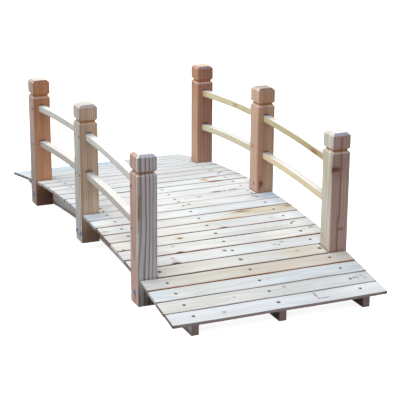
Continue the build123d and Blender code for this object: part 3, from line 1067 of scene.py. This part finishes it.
# Pitch streaks on front faces, by post: heights and places across of their middle line, half width, colour,
# strength
POST_STREAKS = {
    "left_near": [((0.220, 0.300, 0.340, 0.470), (-0.0280, -0.0255, -0.0240, -0.0240), 0.0052,
                   "#B89C84", 0.6),
                  ((0.256, 0.285, 0.315, 0.345), (-0.0275, -0.0260, -0.0240, -0.0225), 0.0030,
                   "#A87038", 0.8)],
    "right_near": [((0.045, 0.080, 0.107, 0.160, 0.213, 0.266, 0.302, 0.333, 0.353, 0.386, 0.445),
                    (-0.003, -0.0045, -0.0062, -0.0042, -0.0008, 0.0008, -0.001, -0.0031, 0.0015,
                     0.0012, 0.0015), 0.0030, "#86503C", 0.8),
                   ((0.334, 0.342), (0.012, 0.004), 0.0040, "#86503C", 0.5)],
    "right_far": [((0.110, 0.250, 0.470), (-0.006, -0.005, -0.006), 0.0040, "#6E4638", 0.4)],
    "left_middle": [((0.030, 0.477), (-0.0275, -0.0275), 0.0030, "#A88C70", 0.4)],
    "right_middle": [((0.120, 0.300, 0.477), (-0.017, -0.015, -0.017), 0.0110, "#D8A68C", 0.5),
                     ((0.130, 0.200, 0.440), (-0.0135, -0.0120, -0.0110), 0.0030, "#7E5242", 0.22),
                     ((0.120, 0.300, 0.430), (0.016, 0.015, 0.016), 0.0120, "#DCBCA0", 0.6)],
}
# Spots of other colours, by post and face: height, place across, half height, half width, colour, strength
# Some spots are painted shade or painted shadow, noted beside them
POST_PATCHES = {
    "left_near": {
        "left": [
            (0.027, -0.010, 0.008, 0.007, "#5E4233", 0.9), (0.349, 0.021, 0.013, 0.008, "#B0743C", 0.8),
            (0.230, -0.028, 0.320, 0.013, "#E2DEE0", 0.8), (0.425, -0.028, 0.045, 0.008, "#F4F6FA", 0.8),
        ],
        "front": [
            # second spot: painted shade of the deck over the post's foot
            (0.0, 0.0, 0.070, 0.200, "#B8BAC4", 0.9), (0.010, 0.014, 0.045, 0.036, "#5E4638", 0.85),
        ],
    },
    "left_middle": {
        "left": [
            (0.060, 0.0, 0.100, 0.200, "#C4CCD6", 0.7), (0.050, 0.0, 0.004, 0.026, "#7F776C", 0.6),
            (0.400, 0.006, 0.160, 0.040, "#DEE1D6", 0.8),
        ],
        "front": [
            # first spot: painted shade of the deck over the post's foot
            (0.030, 0.0, 0.080, 0.080, "#7C5C4A", 0.7), (0.140, 0.004, 0.060, 0.050, "#F4DEC8", 0.7),
            (0.400, -0.018, 0.120, 0.018, "#C4AC98", 0.7),
        ],
    },
    "left_far": {
        "front": [
            # first spot: painted shade of the deck over the post's foot
            (0.0, 0.0, 0.115, 0.200, "#644836", 0.95), (0.450, 0.0, 0.220, 0.200, "#BC8866", 0.95),
            (0.360, -0.024, 0.120, 0.016, "#A87654", 0.5),
        ],
        "left": [
            (0.0, 0.0, 0.320, 0.200, "#8E8076", 0.8), (0.040, -0.026, 0.070, 0.014, "#7A6052", 0.5),
            (0.250, -0.028, 0.160, 0.010, "#BE9A84", 0.6),
        ],
    },
    "right_middle": {
        "front": [
            (0.160, 0.0, 0.100, 0.200, "#D4AE96", 0.8), (0.410, 0.008, 0.026, 0.026, "#AB8B78", 0.8),
            # first spot: painted shade in the mortise's gap above the rail; second: painted shadow under that
            # rail
            (0.391, -0.002, 0.005, 0.010, "#5A4440", 0.8), (0.350, 0.012, 0.010, 0.016, "#8A6450", 0.5),
            (0.165, -0.019, 0.028, 0.010, "#8A604C", 0.6),
        ],
        "left": [
            (0.470, 0.0, 0.140, 0.200, "#ECCEB4", 0.7), (0.260, -0.028, 0.180, 0.008, "#CC9C80", 0.5),
        ],
    },
    "right_far": {
        "front": [
            (0.430, 0.010, 0.080, 0.034, "#A67864", 0.8), (0.120, 0.0, 0.180, 0.200, "#C09888", 0.8),
        ],
        "left": [
            (0.450, 0.0, 0.160, 0.200, "#CC987A", 0.9), (0.100, 0.0, 0.150, 0.200, "#DAB098", 0.8),
        ],
    },
    "right_near": {
        "left": [
            (0.060, -0.018, 0.130, 0.026, "#F0D8C6", 0.7), (0.120, 0.014, 0.014, 0.005, "#C08A5C", 0.8),
            (0.330, 0.018, 0.100, 0.024, "#E4DEBE", 0.8), (0.270, -0.028, 0.200, 0.008, "#D8BEAA", 0.7),
        ],
        "front": [
            (0.350, 0.0, 0.060, 0.200, "#B89C92", 0.7),
        ],
    },
}
# Each face's outward direction in (v, w)
FACES = {"front": (0, -1), "back": (0, 1), "left": (-1, 0), "right": (1, 0)}
# Faces that rails enter, by row of posts, and the bay that these rails span
RAIL_ENTRIES = {"near": {"back": "near"}, "middle": {"front": "near", "back": "far"},
                "far": {"front": "far"}}
# Steps between points up and around a post, and reach of the fine ones at a fastener
POST_STEPS = (0.008, 0.005)
FASTENER_REACH = 0.0091
# How far even rings stay from those that the profile and mortises need, and even points from a mortise
RING_MARGIN = 0.0009
POINT_MARGIN = 0.001
# Points next to the arrises, where their painted highlight fades
HIGHLIGHT_POINTS = 0.0042
# Depth and lip of the recess in which a bolt's rim lies
RECESS_DEPTH = 0.0003
RECESS_LIP = 0.0012
# Half width of the heartwood's border, and shares of the half width over which a face's colour sets in
HEART_BORDER = 0.0012
FACE_EDGE = (0.93, 0.97)
# Distances over which painted highlight fades from an arris, the groove's shoulder and a corner of the cap,
# and over which the painted shadow round a fastener does
HIGHLIGHT_REACH = (0.0022, 0.0040)
SHOULDER_REACH = (0.0008, 0.0022)
CORNER_REACH = (0.0012, 0.0030)
HEAD_SHADE_REACH = (0.0010, 0.0028)
HEAD_SHADE_SHARE = 0.85
# Painted highlight of the other arrises, as a share of that between front and left face
OTHER_HIGHLIGHT = 0.2
# Middle of the painted highlight band above the shaft's top
SHOULDER_RISE = 0.0006
# Depths in the groove over which fresh wood sets in, and height over which it does so under the bottom
FRESH_DEPTH = (0.0012, 0.0035)
FRESH_RISE = 0.002
# Heights about the block's top over which the chamfers' colour sets in, and half width of their mitre
CHAMFER_START = (-0.0004, 0.0006)
MITRE = 0.001
# Share of the cut colour in the side chamfers, and of their clearness that rings keep on cut faces
CUT_SHARE = 0.3
CUT_RINGS = 0.3
# How far below a post's top its flat colour starts
TOP_MARGIN = 0.0003
# A streak's tapered length at each end, its least share of width, and shares of width over which it fades
TAPER = 0.02
LEAST_WIDTH = 0.01
STREAK_REACH = (0.5, 1.4)


def cap_heights(top, look):
    """Heights of a post's shaft top, the bottom of its V-groove, the base and the top of its cap's block."""
    block_top = top - look.cap_chamfer
    block_base = block_top - look.cap_block
    shaft_top = block_base - look.groove_width
    return shaft_top, (shaft_top + block_base) / 2, block_base, block_top


def post_half_width(z, base, top, look, half):
    """Half width of a post at height z: shaft, V-groove, block and chamfered top, with eased edges.

    The easing is the mean of the straight-sided profile over a short window, which rounds each corner.
    """
    heights = [base, *cap_heights(top, look), top]
    widths = [half, half, half - look.groove_depth, half, half, half - look.cap_chamfer]
    window = np.linspace(-look.ease, look.ease, 7)
    spots = np.clip(z[..., None] + window, base, top)
    return np.interp(spots, heights, widths).mean(axis=-1)


def post_stations(base, top, look, edges, fasteners):
    """Heights of a post's rings: even, closer at ends, groove, cap and fasteners, and on mortise edges."""
    near = np.linspace(-1.25, 1.25, 6) * look.ease
    fixed = np.concatenate([np.add.outer(cap_heights(top, look), near).ravel(), edges])
    even = places(base, top, POST_STEPS[0], fasteners)
    even = even[np.abs(even[:, None] - fixed).min(axis=1) > RING_MARGIN]
    return with_ends(np.concatenate([even, fixed]), look.ease)


def rail_edges(side, end, face_y, rails, look):
    """Heights of the lower and upper edge of the mortises of both rails, in a face that they enter."""
    edges = []
    for level in LEVELS:
        z = rail_height_at(face_y, f"rail_{side}_{end}_{level}", rails)
        edges.append((z - rails.height / 2 - look.mortise_play, z + rails.height / 2 + look.mortise_gap))
    return edges


def mortise(points, grid, rows, columns, shift):
    """Lines a rectangle that was left out of a grid: its edge points moved in by shift, walls and a floor."""
    (low, high), (first, last) = rows, columns
    loop = np.concatenate([grid[low, first:last], grid[low:high, last], grid[high, last:first:-1],
                           grid[high:low:-1, first]])
    inner = len(points) + np.arange(len(loop))
    walls = np.stack([loop, np.roll(loop, -1), np.roll(inner, -1), inner], axis=-1)
    return np.concatenate([points, points[loop] + np.array(shift)]), [inner.tolist(), *walls.tolist()]


def on_face(local, face, half):
    """1 on one face of a post and 0 past its arrises, and each point's place across that face."""
    across_v, across_w = FACES[face]
    out = local[..., 1] * across_v + local[..., 2] * across_w
    return smooth(*FACE_EDGE, out / half), local[..., 2 if across_v else 1]


def post_knots(local, half, knots):
    """Knots of all faces: each face's own points see only its knots."""
    values = np.full(local.shape, NO_KNOT)
    for face, marks in knots.items():
        share, across = on_face(local, face, half)
        near = share > 0.5
        values[near] = knots_of(local[..., 0], across, marks)[near]
    return values


def streaked(tone, u, across, streaks):
    """Tone with soft lines of other colours, each along its own middle line and tapered at both ends."""
    for heights, middles, half_width, shade, strength in streaks:
        start, stop = heights[0], heights[-1]
        taper = np.sqrt(smooth(start, start + TAPER, u) * smooth(stop, stop - TAPER, u))
        width = half_width * np.maximum(taper, LEAST_WIDTH)
        reach = np.abs(across - np.interp(u, heights, middles)) / width
        tone = mixed(tone, shade, strength * fading(STREAK_REACH, reach) * (taper > 0))
    return tone


def arris_highlight(local, half, timber):
    """How strong the painted highlight on a post's nearest arris is: that between front and left face most."""
    return timber.edge_highlights[0] * np.where(local[..., 1] + local[..., 2] < -half, 1, OTHER_HIGHLIGHT)


def post_tone(name, local, half, look, timber, sunk):
    """Colour of a post's shaft: heartwood on two sides and sapwood on the others.

    Over these lie painted highlights on the arrises, patches, pitch streaks and a painted shadow round bolts
    and screws.
    """
    u, v, w = np.moveaxis(local, -1, 0)
    to_v, to_w, offset = timber.heart_lies
    heart = smooth(-HEART_BORDER, HEART_BORDER, v * to_v + w * to_w + offset)
    tone = mixed(np.array(linear(timber.sap)), timber.heart, heart)
    arris = fading(HIGHLIGHT_REACH, half - np.abs(v)) * fading(HIGHLIGHT_REACH, half - np.abs(w))
    # painted highlight along the arrises
    tone = mixed(tone, look.edge_highlight, arris_highlight(local, half, timber) * arris)
    for face, patches in POST_PATCHES.get(name, {}).items():
        shown, across = on_face(local, face, half)
        tone = mixed(tone, patched(tone, u, across, patches), shown)
    front, across = on_face(local, "front", half)
    tone = mixed(tone, streaked(tone, u, across, POST_STREAKS.get(name, [])), front)
    outer, across = on_face(local, name.split("_")[0], half)
    # painted shadow of the heads: a dark ring round each bolt and screw
    to_head = np.min([np.hypot(u - z, across - y) - radius for z, y, radius in sunk], axis=0)
    tone = mixed(tone, look.head_shade, HEAD_SHADE_SHARE * outer * fading(HEAD_SHADE_REACH, to_head))
    tone[..., 3] = timber.sap_rings + (timber.heart_rings - timber.sap_rings) * heart
    return tone


def cap_tone(tone, local, width, half, look, timber, heights):
    """Colour of a post with its groove and cap: fresh wood in the groove, painted brighter against its shade,
    over a shoulder with a painted highlight.

    The cap's front and back chamfers are grey, those at its sides are partly freshly cut, its corners carry
    a painted highlight, and its top has a colour of its own.
    """
    u, v, w = np.moveaxis(local, -1, 0)
    shaft_top, neck, block_base, block_top = heights
    fresh = smooth(*FRESH_DEPTH, half - width) * smooth(neck - FRESH_RISE, neck, u) * (u < block_base)
    # painted light: the fresh groove colour is brighter to make up for the groove's shade
    tone = mixed(tone, look.groove, fresh)
    shoulder = fading(SHOULDER_REACH, np.abs(u - shaft_top - SHOULDER_RISE))
    # painted highlight on the groove's shoulder
    tone = mixed(tone, look.edge_highlight, timber.edge_highlights[1] * shoulder)
    sloped = smooth(*CHAMFER_START, u - block_top)
    to_mitre = np.abs(w) - np.abs(v)
    chamfers = mixed(mixed(tone, look.cut, CUT_SHARE), timber.chamfer, smooth(-MITRE, MITRE, to_mitre))
    tone = mixed(tone, chamfers, sloped)
    corner = fading(CORNER_REACH, np.abs(to_mitre))
    # painted highlight on the cap's corners
    tone = mixed(tone, look.edge_highlight, arris_highlight(local, half, timber) * corner * sloped)
    flat = (u > block_top + look.cap_chamfer - TOP_MARGIN)[..., None]
    tone = np.where(flat, linear(timber.top), tone)
    tone[..., 3] *= 1 - (1 - CUT_RINGS) * np.maximum(fresh, sloped)
    return tone


def recesses(side, row, middle_y, rails, hardware):
    """Recesses (z, y, radius, depth) of the bolts and screws in a post's outer face."""
    sunk = [(z, y, hardware.bolt_head / 2, RECESS_DEPTH) for y, z in bolt_places(row, middle_y, hardware)]
    sunk += [(z, y, hardware.screw_head / 2, hardware.screw_sink + RECESS_DEPTH)
             for y, z in screw_places(side, row, middle_y, rails, hardware)]
    return sunk


def post_ring(half, slot_half, fine_w, look):
    """Section of a post, with points beside its arrises and mortises, and close ones at its fasteners."""
    flat = places(-half, half, POST_STEPS[1])
    border = np.array([HIGHLIGHT_POINTS - half, half - HIGHLIGHT_POINTS])
    flat_v = flat[np.abs(np.abs(flat) - slot_half) > POINT_MARGIN]
    flat_v = np.concatenate([flat_v, [-slot_half, slot_half], border])
    flat_w = np.concatenate([places(-half, half, POST_STEPS[1], fine_w, FASTENER_REACH), border])
    return rounded_ring(half, half, look.arris, np.sort(flat_v), np.sort(flat_w))


def cut_mortises(points, stations, ring, edges, slope, half, slot_half, look):
    """Points and faces of a post whose skin is left out at each mortise and lined inside it.

    edges holds, for each face that rails enter, the heights of its mortises' edges. A mortise's floor lies
    deeper than its mouth, and lower where the rail slopes.
    """
    quads, caps = closed_skin(len(stations), len(ring))
    keep = np.ones(quads.shape[:2], bool)
    grid = np.arange(len(points)).reshape(len(stations), len(ring))
    lining = []
    for face, levels in edges.items():
        outward = FACES[face][1]
        columns = np.flatnonzero(np.isclose(ring[:, 1], outward * half)
                                 & np.isclose(np.abs(ring[:, 0]), slot_half))
        for level in levels:
            rows = [int(np.argmin(np.abs(stations - z))) for z in level]
            keep[rows[0]:rows[1], columns[0]:columns[1]] = False
            shift = (0, -outward * look.mortise_depth, -slope * look.mortise_depth)
            points, faces = mortise(points, grid, rows, columns, shift)
            lining += faces
    return points, quads[keep].tolist() + caps + lining


def post(side, row, material, seed):
    """One post: a rounded square carried up Z, as wide as its profile, with mortises and bolt recesses."""
    all_settings = settings()
    look, rails = all_settings.posts, all_settings.rails
    name = f"{side}_{row}"
    node = f"post_{name}"
    low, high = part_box(node)
    middle = (low + high) / 2
    half = (high.y - low.y) / 2
    middle.x = (low.x if side == "right" else high.x) + SIDES[side] * half
    timber = POST_TIMBER[name]
    slot_half = span(f"rail_{side}_near_upper")[1] + look.mortise_play
    face_y = half if row == "middle" else abs(middle.y) - half
    slope = 0 if row == "middle" else face_y / rails.radius
    edges = {face: rail_edges(side, end, face_y, rails, look) for face, end in RAIL_ENTRIES[row].items()}
    sunk = recesses(side, row, middle.y, rails, all_settings.fasteners)

    stations = post_stations(low.z, high.z, look, np.unique(np.array(list(edges.values()))),
                             {z for z, *_ in sunk})
    ring = post_ring(half, slot_half, {round(y - middle.y, 4) for _, y, *_ in sunk}, look)
    local = bar(stations, ring)
    u, v, w = np.moveaxis(local, -1, 0)
    width = post_half_width(u, low.z, high.z, look, half)
    scale = (width - end_easing(u, look.ease)) / half
    points = np.stack([middle.x + v * scale, middle.y + w * scale, u], axis=-1)
    outer = v * SIDES[side] > half * 0.999
    for z, y, radius, depth in sunk:
        reach = np.hypot(u - z, middle.y + w - y)
        points[..., 0] -= SIDES[side] * hollow(reach, radius, RECESS_LIP, depth) * outer
    points, faces = cut_mortises(points.reshape(-1, 3), stations, ring, edges, slope, half, slot_half, look)

    inside = (points[u.size:] - np.array([middle.x, middle.y, 0]))[:, [2, 0, 1]]
    local = np.concatenate([local.reshape(-1, 3), inside])
    width = np.concatenate([width.ravel(), np.full(len(inside), half)])
    heads = [(z, y - middle.y, radius) for z, y, radius, _ in sunk]
    tone = post_tone(name, local, half, look, timber, heads)
    tone = cap_tone(tone, local, width, half, look, timber, cap_heights(high.z, look))
    ring_scale = TIMBER_RING / timber.ring
    return finished(
        f"{node}_timber", points, faces, material, "posts", [node],
        grain=grain_of(local, timber.pith, GRAIN_START["post"] + seed, ring_scale, timber.narrowing),
        knot=post_knots(local, half, POST_KNOTS.get(name, {})), tone=tone)


class FOOTBRIDGE_OT_posts(bpy.types.Operator):
    """Build the six posts with their caps and mortises"""
    bl_idname = "footbridge.posts"
    bl_label = "Posts"

    def execute(self, context):
        material = post_fir()
        names = [(side, row) for side in SIDES for row in ROWS]
        for seed, (side, row) in enumerate(names):
            post(side, row, material, seed)
        return {"FINISHED"}


# Fasteners

# Heads as shares of their radius at heights from their seat
NAIL_PROFILE = ((0.9, -0.0015), (1.0, -0.0001), (0.9, 0.0002), (0.5, 0.0004), (0.1, 0.00045))
SCREW_PROFILE = ((0.8, -0.001), (1.0, 0.0), (0.95, 0.0002), (0.45, 0.00022), (0.2, -0.0006))
# A bolt's dome as shares of its radius and rise, and its socket as shares of a hexagon and that rise
DOME_PROFILE = ((1.0, 0.33), (0.97, 0.5), (0.88, 0.76), (0.74, 0.95), (0.62, 1.0))
SOCKET_PROFILE = ((1.06, 1.0), (1.0, 0.9), (1.0, 0.35))
# How far a bolt's head reaches into its post
SKIRT = 0.001
HEAD_POINTS = 16
BOLT_POINTS = 24


def bolt_places(row, middle_y, look):
    """Places (y, z) of the bolts in a post's outer face: one in an end post, two abreast in a middle one."""
    if row == "middle":
        return [(sign * look.middle_bolt_offset, look.middle_bolt_height) for sign in (-1, 1)]
    return [(middle_y, look.bolt_height)]


def screw_places(side, row, middle_y, rails, look):
    """Places (y, z) of the screws in a post's outer face: one in each rail's tenon."""
    spots = []
    for face, end in RAIL_ENTRIES[row].items():
        y = middle_y + FACES[face][1] * look.screw_offset
        spots += [(y, rail_height_at(abs(y), f"rail_{side}_{end}_{level}", rails)) for level in LEVELS]
    return spots


def nail_seats(boards):
    """Seats of all nail heads, at the bottom of the boards' dimples."""
    seats = []
    for number in range(1, BOARD_COUNT + 1):
        middle, along, up, half = board_frame(f"plank_{number:02d}")
        for x, v in nail_places(number, boards):
            spot = middle + v * along + (half[2] - boards.dimple_depth) * up
            seats.append([[1, 0, 0, x], [0, along[0], up[0], spot[0]], [0, along[1], up[1], spot[1]]])
    return seats


def round_head(profile, radius):
    """Head of a nail or a screw, turned about its axis. A screw's has a round recess for the driver."""
    return revolved([(radius * share, height) for share, height in profile], HEAD_POINTS)


def socket_head(radius, rise, flats):
    """Domed head with a hexagon socket: circles for the dome, then rings that follow a hexagon's outline.

    A hexagon's radius at a turn is half its width across flats over the cosine of the angle from the
    middle of a side.
    """
    turn = np.linspace(0, 2 * pi, BOLT_POINTS, endpoint=False)
    hexagon = flats / 2 / np.cos((turn + pi / 6) % (pi / 3) - pi / 6)
    dome = [(1.0, -SKIRT / rise), *DOME_PROFILE]
    reach = np.array([np.full(BOLT_POINTS, radius * share) for share, _ in dome]
                     + [hexagon * share for share, _ in SOCKET_PROFILE])
    height = np.array([rise * share for _, share in (*dome, *SOCKET_PROFILE)])
    height = np.broadcast_to(height[:, None], reach.shape)
    return np.stack([reach * np.cos(turn), reach * np.sin(turn), height], axis=-1)


def outer_face_seats(places_of, depth):
    """Seats at a depth under the outer faces of all posts, with the axis of each pointing outwards."""
    seats = []
    for side, sign in SIDES.items():
        for row in ROWS:
            low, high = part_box(f"post_{side}_{row}")
            x = (low.x if sign > 0 else high.x) + sign * (high.y - low.y - depth)
            for y, z in places_of(side, row, (low.y + high.y) / 2):
                seats.append([[0, 0, sign, x], [sign, 0, 0, y], [0, 1, 0, z]])
    return seats


def heads(name, head, seats, material, slot):
    """One joined mesh of all heads of a kind."""
    points, faces = repeated(head, seats)
    return finished(name, points, faces, material, slot)


class FOOTBRIDGE_OT_fasteners(bpy.types.Operator):
    """Build the nails, screws and bolts"""
    bl_idname = "footbridge.fasteners"
    bl_label = "Fasteners"

    def execute(self, context):
        all_settings = settings()
        look, rails = all_settings.fasteners, all_settings.rails
        darkened = steel("darkened_steel", tuple(look.nail), metallic=0.0, roughness=0.85)
        zinc_plated = steel("blue_zinc_plated_steel", tuple(look.zinc), metallic=0.7, roughness=0.4)
        dull = steel("dull_steel", tuple(look.screw), metallic=0.3, roughness=0.6)
        bolts = outer_face_seats(lambda side, row, y: bolt_places(row, y, look), 0.0)
        screws = outer_face_seats(lambda side, row, y: screw_places(side, row, y, rails, look),
                                  look.screw_sink)
        heads("nail_heads", round_head(NAIL_PROFILE, look.nail_head / 2), nail_seats(all_settings.boards),
              darkened, "nails")
        heads("bolt_heads", socket_head(look.bolt_head / 2, look.bolt_rise, look.bolt_socket), bolts,
              zinc_plated, "bolts")
        heads("screw_heads", round_head(SCREW_PROFILE, look.screw_head / 2), screws, dull, "bolts")
        return {"FINISHED"}


# Stage

CAMERA_PLACE = (-1.5723, -3.8395, 1.4505)
CAMERA_YAW = radians(23.334)
CAMERA_PITCH = radians(-17.741)
CAMERA_ROLL = radians(0.306)
CAMERA_LENS = 119.32
CAMERA_REACH = 100.0
SENSOR_WIDTH = 36.0
LAMP_PLACE = (-0.9, 0.0, 3.2)


def seen_directly(tree):
    """1 for rays from the camera, from gloss or through glass, and 0 for rays that light the bridge."""
    camera_ray = add(tree, "ShaderNodeLightPath", output="Is Camera Ray")
    rays = camera_ray.node
    gloss = add(tree, "ShaderNodeMath", [(0, camera_ray), (1, rays.outputs["Is Glossy Ray"])],
                operation="MAXIMUM")
    return add(tree, "ShaderNodeMath", [(0, gloss), (1, rays.outputs["Is Transmission Ray"])],
               operation="MAXIMUM")


def floor(look):
    """Plain pale floor that keeps shadows: white to the camera and in reflections, dimmer to the bridge."""
    half = look.floor_size / 2
    points = np.array([(-half, -half, 0), (half, -half, 0), (half, half, 0), (-half, half, 0)])
    mesh = bpy.data.meshes.new("floor")
    mesh.from_pydata(points, [], [(0, 1, 2, 3)])
    piece = bpy.data.objects.new("floor", mesh)
    bpy.context.scene.collection.objects.link(piece)
    material, tree = new_material("pale_floor")
    seen = seen_directly(tree)
    tint = add(tree, "ShaderNodeMix", [("A", tuple(look.floor_shade)), ("B", tuple(look.floor_white)),
                                       ("Factor", seen)], "Result", data_type="RGBA")
    matt = add(tree, "ShaderNodeBsdfDiffuse", [("Color", tint)])
    glow = add(tree, "ShaderNodeMath", [(0, seen), (1, look.floor_glow)], operation="MULTIPLY")
    glow = add(tree, "ShaderNodeEmission", [("Color", tuple(look.floor_white)), ("Strength", glow)])
    both = add(tree, "ShaderNodeAddShader", [(0, matt), (1, glow)])
    add(tree, "ShaderNodeOutputMaterial", [("Surface", both)])
    mesh.materials.append(material)


def sky(look):
    """Even white world: full white behind the bridge, dimmer as light on it."""
    world = bpy.data.worlds.new("studio")
    world.use_nodes = True
    tree = world.node_tree
    tree.nodes.clear()
    strength = add(tree, "ShaderNodeMapRange", [("Value", seen_directly(tree)), ("To Min", look.sky)])
    light = add(tree, "ShaderNodeBackground", [("Color", linear("#FFFFFF")), ("Strength", strength)])
    add(tree, "ShaderNodeOutputWorld", [("Surface", light)])
    bpy.context.scene.world = world


def lamp(name, place, size, power):
    """Square soft light at a place, turned towards the middle of the deck."""
    data = bpy.data.lights.new(name, "AREA")
    data.shape = "SQUARE"
    data.size = size
    data.energy = power
    piece = bpy.data.objects.new(name, data)
    place = Vector(place)
    piece.matrix_world = Matrix.Translation(place) @ (-place).to_track_quat("-Z", "Y").to_matrix().to_4x4()
    bpy.context.scene.collection.objects.link(piece)


def camera():
    """Camera at the photograph's place and angle: yaw from +Y, pitch from level, then roll."""
    data = bpy.data.cameras.new("camera")
    data.sensor_fit = "HORIZONTAL"
    data.sensor_width = SENSOR_WIDTH
    data.lens = CAMERA_LENS
    data.clip_end = CAMERA_REACH
    piece = bpy.data.objects.new("camera", data)
    turn = (Matrix.Rotation(-CAMERA_YAW, 4, "Z") @ Matrix.Rotation(pi / 2 + CAMERA_PITCH, 4, "X")
            @ Matrix.Rotation(CAMERA_ROLL, 4, "Z"))
    piece.matrix_world = Matrix.Translation(CAMERA_PLACE) @ turn
    bpy.context.scene.collection.objects.link(piece)
    bpy.context.scene.camera = piece


class FOOTBRIDGE_OT_stage(bpy.types.Operator):
    """Set up the floor, the light and the camera"""
    bl_idname = "footbridge.stage"
    bl_label = "Stage"

    def execute(self, context):
        look = settings().stage
        floor(look)
        sky(look)
        lamp("overhead_light", LAMP_PLACE, look.lamp_size, look.lamp_power)
        camera()
        context.scene.view_settings.view_transform = "Standard"
        return {"FINISHED"}


# Panel, registration and run

OPERATORS = (
    FOOTBRIDGE_OT_deck_boards,
    FOOTBRIDGE_OT_stringers,
    FOOTBRIDGE_OT_rails,
    FOOTBRIDGE_OT_posts,
    FOOTBRIDGE_OT_fasteners,
    FOOTBRIDGE_OT_stage,
)


class FOOTBRIDGE_PT_panel(bpy.types.Panel):
    """Buttons for the parts of the footbridge"""
    bl_label = "Footbridge"
    bl_idname = "FOOTBRIDGE_PT_panel"
    bl_space_type = "VIEW_3D"
    bl_region_type = "UI"
    bl_category = "Footbridge"

    def draw(self, context):
        for operator in OPERATORS:
            self.layout.operator(operator.bl_idname)


CLASSES = (
    BoardSettings,
    StringerSettings,
    RailSettings,
    PostSettings,
    FastenerSettings,
    StageSettings,
    FootbridgeSettings,
    *OPERATORS,
    FOOTBRIDGE_PT_panel,
)


def register():
    """Makes the classes and the settings known to Blender."""
    for cls in CLASSES:
        bpy.utils.register_class(cls)
    bpy.types.Scene.footbridge = PointerProperty(type=FootbridgeSettings)


def unregister():
    """Takes them away again, in the opposite order."""
    del bpy.types.Scene.footbridge
    for cls in reversed(CLASSES):
        bpy.utils.unregister_class(cls)


def main():
    """Builds the footbridge and its stage."""
    register()
    bpy.ops.footbridge.deck_boards()
    bpy.ops.footbridge.stringers()
    bpy.ops.footbridge.rails()
    bpy.ops.footbridge.posts()
    bpy.ops.footbridge.fasteners()
    bpy.ops.footbridge.stage()


if __name__ == "__main__":
    main()
